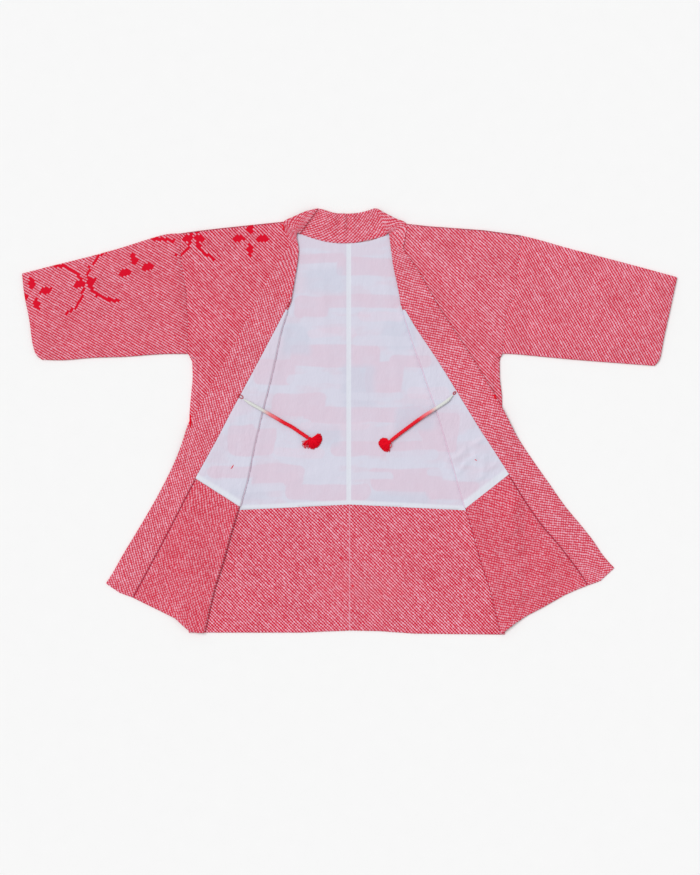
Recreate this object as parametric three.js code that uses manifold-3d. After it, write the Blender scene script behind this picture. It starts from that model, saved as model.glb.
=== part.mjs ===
// A shibori haori laid out flat on its back. The inside of the back faces up, and each front
// is folded back along a slanting line from the neck to the bottom of its side seam, so that
// its lining and its turned-up hem show.
// Millimetres. +X points to the wearer's left sleeve, +Y to the collar and +Z up from the
// surface that the garment lies on. In the tables, "out" is the distance from the centre
// line and "up" is the distance along +Y.
import * as THREE from "three";
import { mergeVertices } from "three/addons/utils/BufferGeometryUtils.js";
import Module from "manifold-3d";

const wasm = await Module();
wasm.setup();

// Cloths, and the air between two that lie on each other.
const CLOTH = 1.2; // tied silk
const LINING = 1; // plain silk
const COLLAR = 2.4; // tied silk, doubled
const GAP = 0.3;

// Heights of the middle of each layer.
const BACK_MID = CLOTH / 2;
const FRONT_MID = BACK_MID + 2 * (CLOTH + GAP);
const FOLDED_MID = FRONT_MID + CLOTH + GAP;
const FOLDED_BASE = FOLDED_MID - CLOTH / 2;
const FACING_LIFT = CLOTH + GAP;
const LINING_LIFT = (CLOTH + LINING) / 2 + GAP;

// Radii of the two turns: cloth folded on itself, and front over back.
const FOLD_RADIUS = (FOLDED_MID - FRONT_MID) / 2;
const TURN_RADIUS = (FRONT_MID - BACK_MID) / 2;
const TURN_REACH = TURN_RADIUS + CLOTH / 2;
const TURNED = FOLD_RADIUS + CLOTH / 2;
const BEND = Math.PI * FOLD_RADIUS;

// A folded front comes down to the surface over this length beyond the side seam.
const DROP_START = 12;
const DROP_LENGTH = 34;

// The turned-up hem inside the back ends here at the centre, and dips outwards.
const FACING_TOP = -160;
const FACING_DIP = 0.05;
const LINING_INSET = 6;

// The gusset's width at the armpit and at the hem.
const GUSSET_TOP = 8;
const GUSSET_HEM = 66;
const ARMPIT = 124;

// Where the grids have their rows, back and front alike: above the crossing of fold and
// collar, from there to the top of the facings, and down to the hem.
const NECK_HEIGHTS = [335, 300, 268];
const LINING_HEIGHTS = [217, 196, 160, ARMPIT + 8, ARMPIT, 86, 40, -15, -60, -105];
const FACING_HEIGHTS = [-205, -245, -285, -325, -365];
// The row of each side's folded table that is level with the top of the facing.
const FACING_ROW = 6;

// Where the grids have their columns.
const FOLDED_STOPS = [0, 0.14, 0.28, 0.42, 0.56, 0.7, 0.84, 1];
const BEND_STOPS = [0.67, 0.33];
const LINING_ROUND = -BEND * 0.4;
const SEAM_ON_BEND = 6 * GAP;
const SPREAD = [0, 0.2, 0.45, 0.72, 1];
const TURN_STEPS = 3;
const COLLAR_COLUMNS = 6;

const RED = { color: 0xd8405f, roughness: 0.8, metalness: 0 };
const PALE = { color: 0xd6d4e2, roughness: 0.55, metalness: 0 };
const CORD_WHITE = { color: 0xf0dfe2, roughness: 0.7, metalness: 0 };
const CORD_RED = { color: 0xd01036, roughness: 0.7, metalness: 0 };

// The wearer's right side.
const RIGHT = {
  name: "right",
  sign: -1,
  neckOut: 102.5,
  shoulder: [
    { out: 102.5, up: 389 },
    { out: 144, up: 383 },
    { out: 207, up: 376 },
    { out: 258, up: 369 },
    { out: 327, up: 366 },
  ],
  neck: [
    { out: 0, up: 346.5 },
    { out: 23, up: 346.5 },
    { out: 47, up: 349.5 },
    { out: 74, up: 359 },
    { out: 90, up: 364 },
    { out: 98.5, up: 366 },
  ],
  // The neck edge of the front, under the collar.
  frontNeck: [
    { up: 389, out: 102.5 },
    { up: 335, out: 105 },
    { up: 300, out: 107 },
    { up: 268, out: 112 },
  ],
  outline: [
    { up: 366, out: 327 },
    { up: 314, out: 327 },
    { up: 243, out: 315.5 },
    { up: 188, out: 313.5 },
    { up: 132, out: 313.5 },
    { up: 124, out: 305.5 },
    { up: 86, out: 304 },
    { up: 17, out: 310.5 },
    { up: -408, out: 312 },
  ],
  hem: [
    { out: 0, up: -404 },
    { out: 95, up: -408 },
    { out: 312, up: -408 },
  ],
  // The folded front from the crossing below the neck to the hem: the fold, the seam with
  // the collar and the collar's free edge.
  folded: [
    { fold: [113, 238], seam: [113, 238], edge: [166, 263] },
    { fold: [133, 178], seam: [141, 185], edge: [193, 211] },
    { fold: [150, 101], seam: [178, 115], edge: [229, 143] },
    { fold: [178, -15], seam: [234, 11], edge: [287, 39] },
    { fold: [188, -58], seam: [254, -28], edge: [310, 2] },
    { fold: [197, -103], seam: [276, -68], edge: [325, -42] },
    { fold: [213, -163], seam: [299, -109], edge: [341, -82] },
    { fold: [228, -210], seam: [327, -163], edge: [369, -138] },
    { fold: [244, -268], seam: [354, -215], edge: [398, -189] },
    { fold: [262, -326], seam: [382, -268], edge: [430, -242] },
    { fold: [281, -408], seam: [421, -340], edge: [472, -313] },
  ],
  // The collar from the crossing over the shoulder to the back of the neck: its inner and
  // free edges, and how high each lies.
  collar: [
    { inner: [107.5, 270], edge: [154.5, 285], innerBase: 4.5, edgeBase: 4.5 },
    { inner: [102, 303], edge: [142, 305], innerBase: 4.5, edgeBase: 4.5 },
    { inner: [99.5, 324], edge: [129, 322], innerBase: 4.5, edgeBase: 4.5 },
    { inner: [99, 336], edge: [120.5, 335.5], innerBase: 4.5, edgeBase: 4.5 },
    { inner: [100.5, 346], edge: [116.5, 348], innerBase: 4.5, edgeBase: 4.5 },
    { inner: [102.5, 355], edge: [120.5, 362], innerBase: 4.5, edgeBase: 4.5 },
    { inner: [103, 361], edge: [125, 375], innerBase: 4.5, edgeBase: 4.5 },
    { inner: [102, 364.5], edge: [127, 388], innerBase: 4.6, edgeBase: 4.5 },
    { inner: [99.5, 367.5], edge: [108, 398], innerBase: 4.8, edgeBase: 4.5 },
    { inner: [97, 370], edge: [85, 408], innerBase: 5, edgeBase: 3.9 },
    { inner: [94.5, 372], edge: [62.5, 413.8], innerBase: 4.8, edgeBase: 3.3 },
    { inner: [88.5, 366], edge: [56, 413], innerBase: 0, edgeBase: 0 },
    { inner: [74, 360], edge: [46, 410], innerBase: 0, edgeBase: 0 },
    { inner: [47, 350.3], edge: [29, 405], innerBase: 0, edgeBase: 0 },
    { inner: [23, 347.3], edge: [13, 404], innerBase: 0, edgeBase: 0 },
  ],
  sleeveTop: [[327, 366], [356, 364], [408, 349], [436, 340], [510, 319.5], [571, 304.5], [635, 288]],
  sleeveBottom: [[314, 132], [353, 132], [390, 130], [436, 126.5], [500, 124.5], [556, 120], [596, 121]],
  cuff: [[635, 288], [630.5, 247], [621, 199], [614, 150], [607, 130], [596, 121]],
  puffs: [
    { along: 0.45, down: 0.78, spread: 0.16, rise: 1 },
    { along: 0.8, down: 0.3, spread: 0.22, rise: 0.7 },
    { along: 0.2, down: 0.35, spread: 0.2, rise: 0.6 },
  ],
  cord: [
    [204.7, 43.8, 10.6], [189.7, 34.7, 10.6], [179.6, 29.1, 10.6], [169, 23.1, 10.3], [157.3, 16.5, 8.7],
    [147, 10.5, 7], [137.7, 4.9, 6.2], [125.3, -2.3, 6.1], [111.7, -9.5, 6.1], [96.2, -20, 6.1],
    [80.7, -30.3, 6.1],
  ],
  loop: [208.3, 46, 8.2],
  tassel: { head: [76.9, -33.1, 7.4], from: -30, to: 155, length: 24, curl: 12 },
};

// The wearer's left side.
const LEFT = {
  name: "left",
  sign: 1,
  neckOut: 80,
  shoulder: [
    { out: 80, up: 387 },
    { out: 107, up: 385 },
    { out: 152, up: 380 },
    { out: 261, up: 372 },
    { out: 332, up: 362 },
  ],
  neck: [
    { out: 0, up: 346.5 },
    { out: 22, up: 348.2 },
    { out: 46, up: 352.5 },
    { out: 64, up: 361 },
    { out: 73, up: 364 },
  ],
  frontNeck: [
    { up: 387, out: 80 },
    { up: 335, out: 86 },
    { up: 300, out: 90 },
    { up: 268, out: 97 },
  ],
  outline: [
    { up: 362, out: 332 },
    { up: 244, out: 321 },
    { up: 219, out: 304 },
    { up: 170, out: 299.5 },
    { up: 132, out: 296 },
    { up: 124, out: 291 },
    { up: 86, out: 291 },
    { up: 52, out: 295.5 },
    { up: -412, out: 301 },
  ],
  hem: [
    { out: 0, up: -404 },
    { out: 55, up: -405 },
    { out: 126, up: -410 },
    { out: 301, up: -412 },
  ],
  folded: [
    { fold: [99, 233], seam: [99, 233], edge: [148, 266] },
    { fold: [116, 178], seam: [127, 185], edge: [176, 218] },
    { fold: [143, 101], seam: [171, 119], edge: [221, 150] },
    { fold: [181, -15], seam: [233, 18], edge: [283, 50] },
    { fold: [194, -58], seam: [256, -19], edge: [306, 13] },
    { fold: [207, -103], seam: [281, -57], edge: [328, -28] },
    { fold: [225, -166], seam: [309, -101], edge: [355, -70] },
    { fold: [238, -210], seam: [339, -149], edge: [389, -117] },
    { fold: [254, -268], seam: [372, -197], edge: [420, -162] },
    { fold: [273, -326], seam: [411, -243], edge: [456, -206] },
    { fold: [293, -411], seam: [463, -315], edge: [515, -283] },
  ],
  collar: [
    { inner: [92, 270], edge: [135.5, 289], innerBase: 4.5, edgeBase: 4.5 },
    { inner: [85, 303], edge: [119, 313], innerBase: 4.5, edgeBase: 4.5 },
    { inner: [82, 324], edge: [108.5, 328], innerBase: 4.5, edgeBase: 4.5 },
    { inner: [80, 339.5], edge: [103.5, 338], innerBase: 4.5, edgeBase: 4.5 },
    { inner: [78.5, 351], edge: [106.5, 351], innerBase: 4.5, edgeBase: 4.5 },
    { inner: [77.5, 358.5], edge: [108.5, 364], innerBase: 4.5, edgeBase: 4.5 },
    { inner: [77, 362.5], edge: [111, 379], innerBase: 4.5, edgeBase: 4.5 },
    { inner: [76, 365.5], edge: [107, 387], innerBase: 4.6, edgeBase: 4.5 },
    { inner: [74, 368], edge: [90, 394], innerBase: 4.8, edgeBase: 4.5 },
    { inner: [71.5, 369.5], edge: [70.5, 404], innerBase: 4.8, edgeBase: 3.9 },
    { inner: [69, 369.5], edge: [54, 413], innerBase: 4.4, edgeBase: 3 },
    { inner: [63, 364], edge: [48, 413.8], innerBase: 0, edgeBase: 0 },
    { inner: [46, 353.3], edge: [37, 410], innerBase: 0, edgeBase: 0 },
    { inner: [22, 349], edge: [18, 405.5], innerBase: 0, edgeBase: 0 },
  ],
  sleeveTop: [[332, 362], [365, 354], [421, 338], [486, 321], [560, 301.5], [635, 281]],
  sleeveBottom: [[296, 132], [312, 132], [434, 121], [564, 110], [593, 108]],
  cuff: [[635, 281], [624, 223], [611, 162], [603, 119], [593, 108]],
  puffs: [
    { along: 0.1, down: 0.62, spread: 0.14, rise: -0.7 },
    { along: 0.55, down: 0.35, spread: 0.25, rise: 0.9 },
    { along: 0.75, down: 0.75, spread: 0.2, rise: 0.7 },
  ],
  cord: [
    [200.2, 52.4, 10.6], [189.3, 41.4, 10.6], [175.8, 32.1, 10.6], [162.2, 23.4, 10], [148.4, 14.6, 7.8],
    [134.8, 5.2, 6.2], [121.3, -4.6, 6.1], [107.6, -14.9, 6.1], [94.1, -25, 6.1], [80.3, -36.1, 6.1],
  ],
  loop: [203.2, 55.4, 8.2],
  tassel: { head: [77.2, -38.9, 7.4], from: -30, to: 100, length: 20, curl: -8 },
};
const SIDES = [RIGHT, LEFT];

const CORD_RADIUS = 3.2;
const CORD_SIDES = 10;
const CORD_STEP = 15;
const LOOP_RADIUS = 3;
const LOOP_THREAD = 0.9;
const TASSEL_HEAD = 4.2;
const STRAND = 1.1;
const STRAND_TIP = 3.5;
const STRANDS_A_LAYER = 8;
const STRAND_LAYERS = 3;

const lerp = (a, b, f) => a + (b - a) * f;
const clamp = (value, low, high) => Math.min(Math.max(value, low), high);
const smooth = (f) => {
  const g = clamp(f, 0, 1);
  return g * g * (3 - 2 * g);
};

// The value in a table's column where another column reaches a value.
function lookUp(table, key, value, column) {
  const rising = table[1][key] > table[0][key];
  const rows = rising ? table : [...table].reverse();
  const next = rows.findIndex((row) => row[key] > value);
  if (next === 0) return rows[0][column];
  if (next < 0) return rows[rows.length - 1][column];
  const [low, high] = [rows[next - 1], rows[next]];
  return lerp(low[column], high[column], (value - low[key]) / (high[key] - low[key]));
}

// A smooth curve through [out, up] points.
function curve(points) {
  return new THREE.CatmullRomCurve3(points.map(([x, y]) => new THREE.Vector3(x, y, 0)));
}

// Grids of points in the middle of a cloth become one closed wall of its thickness. Points
// that coincide are merged, so grids join where they share a row or a column.
function wall(grids, thickness) {
  const points = [];
  const found = new Map();
  const indexOf = (point) => {
    const key = point.map((v) => Math.round(v * 100)).join(" ");
    if (!found.has(key)) found.set(key, points.push(new THREE.Vector3(...point)) - 1);
    return found.get(key);
  };
  const faces = [];
  for (const grid of grids) {
    for (let i = 1; i < grid.length; i++) {
      for (let j = 1; j < grid[i].length; j++) {
        const [a, b] = [indexOf(grid[i - 1][j - 1]), indexOf(grid[i - 1][j])];
        const [c, d] = [indexOf(grid[i][j]), indexOf(grid[i][j - 1])];
        faces.push(...[[a, b, c], [a, c, d]].filter((face) => new Set(face).size === 3));
      }
    }
  }
  return meshed(points, faces, thickness);
}

// Offsets a surface both ways by half a thickness and closes it along its open edges.
function meshed(points, faces, thickness) {
  const normals = points.map(() => new THREE.Vector3());
  const normal = new THREE.Vector3();
  for (const [a, b, c] of faces) {
    const edge = points[b].clone().sub(points[a]);
    normal.crossVectors(edge, points[c].clone().sub(points[a]));
    for (const i of [a, b, c]) normals[i].add(normal);
  }
  const offset = (side) =>
    points.map((p, i) => p.clone().addScaledVector(normals[i].clone().normalize(), side * thickness / 2));
  const vertices = [...offset(1), ...offset(-1)];
  const under = (i) => i + points.length;
  const edges = new Set(faces.flatMap(([a, b, c]) => [`${a} ${b}`, `${b} ${c}`, `${c} ${a}`]));
  const index = [];
  for (const [a, b, c] of faces) index.push(a, b, c, under(a), under(c), under(b));
  for (const edge of edges) {
    const [a, b] = edge.split(" ").map(Number);
    if (!edges.has(`${b} ${a}`)) index.push(b, a, under(a), b, under(a), under(b));
  }
  return geometryOf(vertices, index);
}

// An indexed geometry, turned inside out where its faces point inwards.
function geometryOf(vertices, index) {
  let volume = 0;
  for (let i = 0; i < index.length; i += 3) {
    const [a, b, c] = [0, 1, 2].map((k) => vertices[index[i + k]]);
    volume += a.dot(b.clone().cross(c));
  }
  const faces = volume < 0 ? [...index].reverse() : index;
  const geometry = new THREE.BufferGeometry().setFromPoints(vertices);
  geometry.setIndex(faces);
  geometry.computeVertexNormals();
  return geometry;
}

// Puts [out, up, height] grids on their own side of the centre line.
const placed = (side, grids) =>
  grids.map((grid) => grid.map((row) => row.map(([out, up, z]) => [side.sign * out, up, z])));

const sideOut = (side, up) => lookUp(side.outline, "up", up, "out");
const gussetWidth = (side, up) => {
  const bottom = side.hem[side.hem.length - 1].up;
  return up > ARMPIT ? 0 : lerp(GUSSET_TOP, GUSSET_HEM, (ARMPIT - up) / (ARMPIT - bottom));
};

// How high a folded front lies: on the layers below it, and beyond them on the surface.
function support(side, out, up) {
  const beyond = out - sideOut(side, up) - DROP_START;
  return FOLDED_BASE * (1 - smooth(beyond / DROP_LENGTH));
}

// The folded front at a height: how far down its table that is, and its three edges there.
function foldedAt(side, up) {
  const steps = side.folded.map(({ fold }, step) => ({ up: fold[1], step }));
  const t = lookUp(steps, "up", up, "step") / (side.folded.length - 1);
  const [fold, seam, edge] = ["fold", "seam", "edge"].map((key) => {
    const point = curve(side.folded.map((row) => row[key])).getPoint(t);
    return new THREE.Vector2(point.x, point.y);
  });
  return { fold, seam, edge };
}

// A row of the front. "fold" is where its turn begins, and "reach" is how far the cloth runs
// on past that.
function foldedRow(side, up) {
  const crossing = up === side.folded[0].fold[1];
  const { fold, seam } = foldedAt(side, up);
  const start = new THREE.Vector2(fold.x + (crossing ? -1 : TURNED), up);
  const away = seam.sub(start);
  const reach = crossing ? 0 : away.length() + BEND - GAP;
  return { fold: start.x, reach, away: away.normalize(), upAt: () => up, sideUp: up };
}

function neckRow(side, up) {
  const fold = lookUp(side.frontNeck, "up", up, "out");
  return { fold, reach: 0, away: new THREE.Vector2(1, 0), upAt: () => up, sideUp: up };
}

function shoulderRow(side) {
  const row = neckRow(side, side.frontNeck[0].up);
  return { ...row, upAt: (out) => lookUp(side.shoulder, "out", out, "up") - TURN_REACH };
}

// The height where the seam between front and gusset reaches a run from the fold.
function gussetCrossing(side, run) {
  let [high, low] = [ARMPIT, side.folded.at(-1).fold[1]];
  while (high - low > 0.05) {
    const middle = (high + low) / 2;
    if (frontEnd(side, foldedRow(side, middle)) > run) high = middle;
    else low = middle;
  }
  return high;
}

// The heights of the rows from the crossing down to the top of the facing and to the hem.
function foldedHeights(side) {
  const top = side.folded[FACING_ROW].fold[1];
  const crossings = [gussetCrossing(side, 0), gussetCrossing(side, -BEND)];
  const below = [...FACING_HEIGHTS, ...crossings].sort((a, b) => b - a);
  return {
    lining: [side.folded[0].fold[1], ...LINING_HEIGHTS, top],
    facing: [top, ...below, side.folded.at(-1).fold[1]],
  };
}

function frontRows(side) {
  const { lining, facing } = foldedHeights(side);
  return [
    shoulderRow(side),
    ...NECK_HEIGHTS.map((up) => neckRow(side, up)),
    ...[...lining, ...facing.slice(1)].map((up) => foldedRow(side, up)),
  ];
}

// A point of the front: "run" goes outwards from the fold, and is negative past it, where the
// cloth is turned over. "lift" moves it off the middle of the cloth, to its inside.
function laid(side, row, run, lift) {
  if (run >= 0) {
    const out = row.fold + run;
    return [out, row.upAt(out), FRONT_MID - lift];
  }
  const up = row.upAt(row.fold);
  if (run > -BEND) {
    const angle = (-run / BEND) * Math.PI;
    const across = new THREE.Vector2(-1, 0).sub(row.away).normalize();
    const bulge = (FOLD_RADIUS + lift) * Math.sin(angle);
    const height = FRONT_MID + FOLD_RADIUS - (FOLD_RADIUS + lift) * Math.cos(angle);
    return [row.fold + bulge * across.x, up + bulge * across.y, height];
  }
  const beyond = -run - BEND;
  const out = row.fold + beyond * row.away.x;
  const height = up + beyond * row.away.y;
  return [out, height, support(side, out, height) + CLOTH / 2 + lift];
}

// A row of points from one run to another.
function across(side, row, from, to, lift = 0) {
  const stops = [
    ...FOLDED_STOPS.map((f) => lerp(-row.reach, -BEND, f)),
    ...BEND_STOPS.map((f) => -BEND * f),
    ...SPREAD.map((f) => f * Math.max(to, 0)),
  ];
  return stops.map((run) => laid(side, row, clamp(run, from, to), lift));
}

// Where the front ends at its side: the sleeve seam, or the seam with the gusset.
const frontEnd = (side, row) => {
  const out = sideOut(side, row.sideUp) - gussetWidth(side, row.sideUp);
  return out - row.fold;
};

// The heights of the back's rows from the hem up, each a function of the distance out.
function backRows(side) {
  const { lining, facing } = foldedHeights(side);
  const level = (up) => () => up;
  return {
    hem: (out) => lookUp(side.hem, "out", out, "up"),
    facing: facing.slice(1, -1).reverse().map(level),
    facingTop: (out) => FACING_TOP - FACING_DIP * out,
    lining: [...NECK_HEIGHTS, ...lining.slice(0, -1)].reverse().map(level),
    top: (out) =>
      out < side.neckOut
        ? lookUp(side.neck, "out", out, "up")
        : lookUp(side.shoulder, "out", out, "up") - TURN_REACH,
  };
}

// The back as two grids that meet below the neck point: centre to neck, and neck to side.
function backGrids(side, heights, inset, z) {
  const outs = [GAP / 2, ...side.neck.slice(1).map((row) => row.out), side.neckOut];
  const insetAt = (up) => (up <= ARMPIT ? Math.max(inset, TURN_REACH + 2 * GAP) : inset);
  const centre = heights.map((up) => outs.map((out) => [out, up(out), z]));
  const outer = heights.map((up) =>
    SPREAD.map((f) => {
      const level = up(lerp(side.neckOut, sideOut(side, 0), f));
      const end = sideOut(side, level) - insetAt(level);
      const out = lerp(side.neckOut, end, f);
      return [out, up(out), z];
    }),
  );
  return [centre, outer];
}

// One half of the body: the back, the turn at the shoulder and the front.
function bodyHalf(side) {
  const rows = backRows(side);
  const heights = [rows.hem, ...rows.facing, rows.facingTop, ...rows.lining, rows.top];
  const [centre, outer] = backGrids(side, heights, 0, BACK_MID);
  const front = frontRows(side).map((row) => across(side, row, -row.reach, frontEnd(side, row)));
  const shoulder = front[0].slice(-SPREAD.length);
  const turn = Array.from({ length: TURN_STEPS + 1 }, (_, step) => {
    const angle = (Math.PI * step) / TURN_STEPS;
    const height = BACK_MID + TURN_RADIUS * (1 - Math.cos(angle));
    return shoulder.map(([out, up]) => [out, up + TURN_RADIUS * Math.sin(angle), height]);
  });
  const back = [...outer.slice(0, -1), ...turn];
  return wall(placed(side, [centre, back, front]), CLOTH);
}

// What lies on the inside of the back.
function backFacing(side) {
  const rows = backRows(side);
  const below = (out) => rows.facingTop(out) - GAP;
  const grids = backGrids(side, [rows.hem, ...rows.facing, below], LINING_INSET, BACK_MID + FACING_LIFT);
  return wall(placed(side, grids), CLOTH);
}

function backLining(side) {
  const rows = backRows(side);
  const end = (out) => rows.top(out) - (out < side.neckOut ? 0 : TURN_REACH);
  const grids = backGrids(side, [rows.facingTop, ...rows.lining, end], LINING_INSET, BACK_MID + LINING_LIFT);
  return wall(placed(side, grids), LINING);
}

// What lies on the inside of a folded front. The lining goes round the fold, and the facing
// ends where the gusset begins.
function frontLining(side) {
  const grid = foldedHeights(side).lining.slice(1).map((up) => {
    const row = foldedRow(side, up);
    return across(side, row, -row.reach, LINING_ROUND, LINING_LIFT);
  });
  return wall(placed(side, [grid]), LINING);
}

function frontFacing(side) {
  const [top, ...rest] = foldedHeights(side).facing;
  const grid = [top - GAP, ...rest].map((up) => {
    const row = foldedRow(side, up);
    const end = Math.min(-BEND, frontEnd(side, row)) - GAP;
    return across(side, row, -row.reach, end, FACING_LIFT);
  });
  return wall(placed(side, [grid]), CLOTH);
}

// The gusset runs from the side of the front, round the side of the body, to the back.
function gusset(side) {
  const { lining, facing } = foldedHeights(side);
  const heights = [...lining, ...facing.slice(1)].filter((up) => up < ARMPIT);
  const grid = [ARMPIT - 2 * GAP, ...heights].map((up) => {
    const row = foldedRow(side, up);
    const axis = sideOut(side, up) - TURN_REACH;
    const turn = Array.from({ length: TURN_STEPS }, (_, step) => {
      const angle = (Math.PI * (step + 1)) / TURN_STEPS;
      const height = FRONT_MID - TURN_RADIUS * (1 - Math.cos(angle));
      return [axis + TURN_RADIUS * Math.sin(angle), up, height];
    });
    const seam = frontEnd(side, row);
    const start = seam + (seam < BEND ? SEAM_ON_BEND : GAP);
    return [...across(side, row, start, axis - row.fold), ...turn];
  });
  return wall(placed(side, [grid]), CLOTH);
}

// The collar, from the right front's hem round the neck to the left front's hem.
function collarSections(side) {
  const { lining, facing } = foldedHeights(side);
  const onFront = [...lining, ...facing.slice(1)].map((up) => {
    const { seam, edge } = foldedAt(side, up);
    return { inner: seam.toArray(), edge: edge.toArray() };
  });
  return [...onFront.reverse(), ...side.collar];
}

function collarRow(side, section) {
  return Array.from({ length: COLLAR_COLUMNS + 1 }, (_, column) => {
    const f = column / COLLAR_COLUMNS;
    const out = lerp(section.inner[0], section.edge[0], f);
    const up = lerp(section.inner[1], section.edge[1], f);
    const neck = section.innerBase !== undefined;
    const base = neck ? lerp(section.innerBase, section.edgeBase, f) : support(side, out, up);
    return [side.sign * out, up, base + COLLAR / 2];
  });
}

function collar() {
  const [right, left] = SIDES.map((side) => collarSections(side).map((s) => collarRow(side, s)));
  const centre = collarRow(LEFT, { inner: [0, 347.3], edge: [0, 403.5], innerBase: 0, edgeBase: 0 });
  return wall([[...right, centre, ...left.reverse()]], COLLAR);
}

// A sleeve is a flattened tube between four edges: armhole, fold, cuff and lower seam. Its
// columns are level with the body's rows, so that the two meet along the armhole.
const SLEEVE_STEPS = 12;

function sleevePatch(side) {
  const [top, bottom, cuff] = [side.sleeveTop, side.sleeveBottom, side.cuff].map(curve);
  const [high, low] = [top.getPoint(0), bottom.getPoint(0)];
  const armhole = (down) => {
    const up = lerp(high.y, low.y, down);
    return new THREE.Vector3(sideOut(side, up) + GAP, up, 0);
  };
  return (along, down) => {
    const point = top.getPointAt(along).multiplyScalar(1 - down);
    point.addScaledVector(bottom.getPointAt(along), down);
    point.addScaledVector(armhole(down), 1 - along);
    point.addScaledVector(cuff.getPointAt(down), along);
    point.addScaledVector(top.getPoint(0), -(1 - along) * (1 - down));
    point.addScaledVector(cuff.getPoint(0), -along * (1 - down));
    point.addScaledVector(bottom.getPoint(0), -(1 - along) * down);
    return point.addScaledVector(cuff.getPoint(1), -along * down);
  };
}

// How far the upper layer of a sleeve rises or sinks in a soft fold.
function puff(side, along, down) {
  return side.puffs.reduce((sum, { along: a, down: d, spread, rise }) => {
    const distance = Math.hypot(along - a, (down - d) * 1.4) / spread;
    return sum + rise * Math.exp(-distance * distance);
  }, 0);
}

// A half turn at the fold or the lower seam, as [distance in from that edge, height] pairs.
function sleeveTurn() {
  return Array.from({ length: TURN_STEPS + 1 }, (_, step) => {
    const angle = (Math.PI * step) / TURN_STEPS;
    const height = BACK_MID + TURN_RADIUS * (1 - Math.cos(angle));
    return [TURN_REACH - TURN_RADIUS * Math.sin(angle), height];
  });
}

function sleeve(side) {
  const patch = sleevePatch(side);
  const [high, low] = [side.sleeveTop[0][1], side.sleeveBottom[0][1]];
  const levels = [...NECK_HEIGHTS, side.folded[0].fold[1], ...LINING_HEIGHTS.filter((up) => up > low + 9)];
  const stops = levels.map((up) => (high - up) / (high - low));
  const grid = Array.from({ length: SLEEVE_STEPS + 1 }, (_, step) => {
    const along = step / SLEEVE_STEPS;
    const width = patch(along, 0).distanceTo(patch(along, 1));
    const ring = [
      ...sleeveTurn().map(([inset, z]) => [inset / width, z]),
      ...stops.map((down) => [down, FRONT_MID + puff(side, along, down)]),
      ...sleeveTurn().reverse().map(([inset, z]) => [1 - inset / width, z]),
      ...[...stops].reverse().map((down) => [down, BACK_MID]),
    ];
    return [...ring, ring[0]].map(([down, z]) => {
      const point = patch(along, down);
      return [point.x, point.y, z];
    });
  });
  return wall(placed(side, [grid]), CLOTH);
}

// The braided cords, the thread loops that hold them and their tassels.
const place = (side, [out, up, z]) => new THREE.Vector3(side.sign * out, up, z);

function polygon(radius, sides) {
  const corners = Array.from({ length: sides }, (_, k) => {
    const angle = (2 * Math.PI * k) / sides;
    return new THREE.Vector2(radius * Math.cos(angle), radius * Math.sin(angle));
  });
  return new THREE.Shape(corners);
}

function cord(side) {
  const path = new THREE.CatmullRomCurve3(side.cord.map((point) => place(side, point)));
  const steps = Math.round(path.getLength() / CORD_STEP);
  const section = polygon(CORD_RADIUS, CORD_SIDES);
  return new THREE.ExtrudeGeometry(section, { steps, extrudePath: path, bevelEnabled: false });
}

function threadLoop(side) {
  const ring = new THREE.TorusGeometry(LOOP_RADIUS, LOOP_THREAD, 5, 12);
  return ring.translate(...place(side, side.loop).toArray());
}

// A closed geometry as a solid that can be joined to another.
function solid(geometry) {
  const shape = geometry.clone();
  shape.deleteAttribute("normal");
  shape.deleteAttribute("uv");
  const merged = mergeVertices(shape, 1e-4);
  const vertProperties = merged.attributes.position.array;
  const triVerts = new Uint32Array(merged.index.array);
  return new wasm.Manifold(new wasm.Mesh({ numProp: 3, vertProperties, triVerts }));
}

function strand(side, angle, layer) {
  const { head, length, curl } = side.tassel;
  const radians = THREE.MathUtils.degToRad(angle);
  const bent = THREE.MathUtils.degToRad(angle + curl);
  const ahead = (turn, far, z) =>
    place(side, [head[0] - far * Math.cos(turn), head[1] - far * Math.sin(turn), z]);
  const reach = length * (1 + 0.12 * Math.cos(3 * radians) - 0.1 * layer);
  const rise = head[2] + layer * 1.5;
  const path = new THREE.QuadraticBezierCurve3(
    ahead(radians, TASSEL_HEAD * 0.7, head[2] + (layer - 1) * 1.6),
    ahead(radians, reach * 0.6, rise),
    ahead(bent, reach, STRAND_TIP + layer * 1.3),
  );
  return new THREE.ExtrudeGeometry(polygon(STRAND / 2, 3), { steps: 2, extrudePath: path, bevelEnabled: false });
}

function tassel(side) {
  const { head, from, to } = side.tassel;
  const knot = new THREE.SphereGeometry(TASSEL_HEAD, 10, 6).translate(...place(side, head).toArray());
  let joined = solid(knot);
  for (let layer = 0; layer < STRAND_LAYERS; layer++) {
    for (let k = 0; k < STRANDS_A_LAYER; k++) {
      const f = (k + 0.33 * layer) / (STRANDS_A_LAYER - 0.34);
      joined = joined.add(solid(strand(side, lerp(from, to, f), layer)));
    }
  }
  const { vertProperties, triVerts } = joined.getMesh();
  const geometry = new THREE.BufferGeometry();
  geometry.setAttribute("position", new THREE.BufferAttribute(vertProperties, 3));
  geometry.setIndex(new THREE.BufferAttribute(triVerts, 1));
  geometry.computeVertexNormals();
  return geometry;
}

const haori = new THREE.Group();

function add(name, geometry, finish) {
  const mesh = new THREE.Mesh(geometry, new THREE.MeshStandardMaterial(finish));
  mesh.name = name;
  haori.add(mesh);
}

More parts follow.
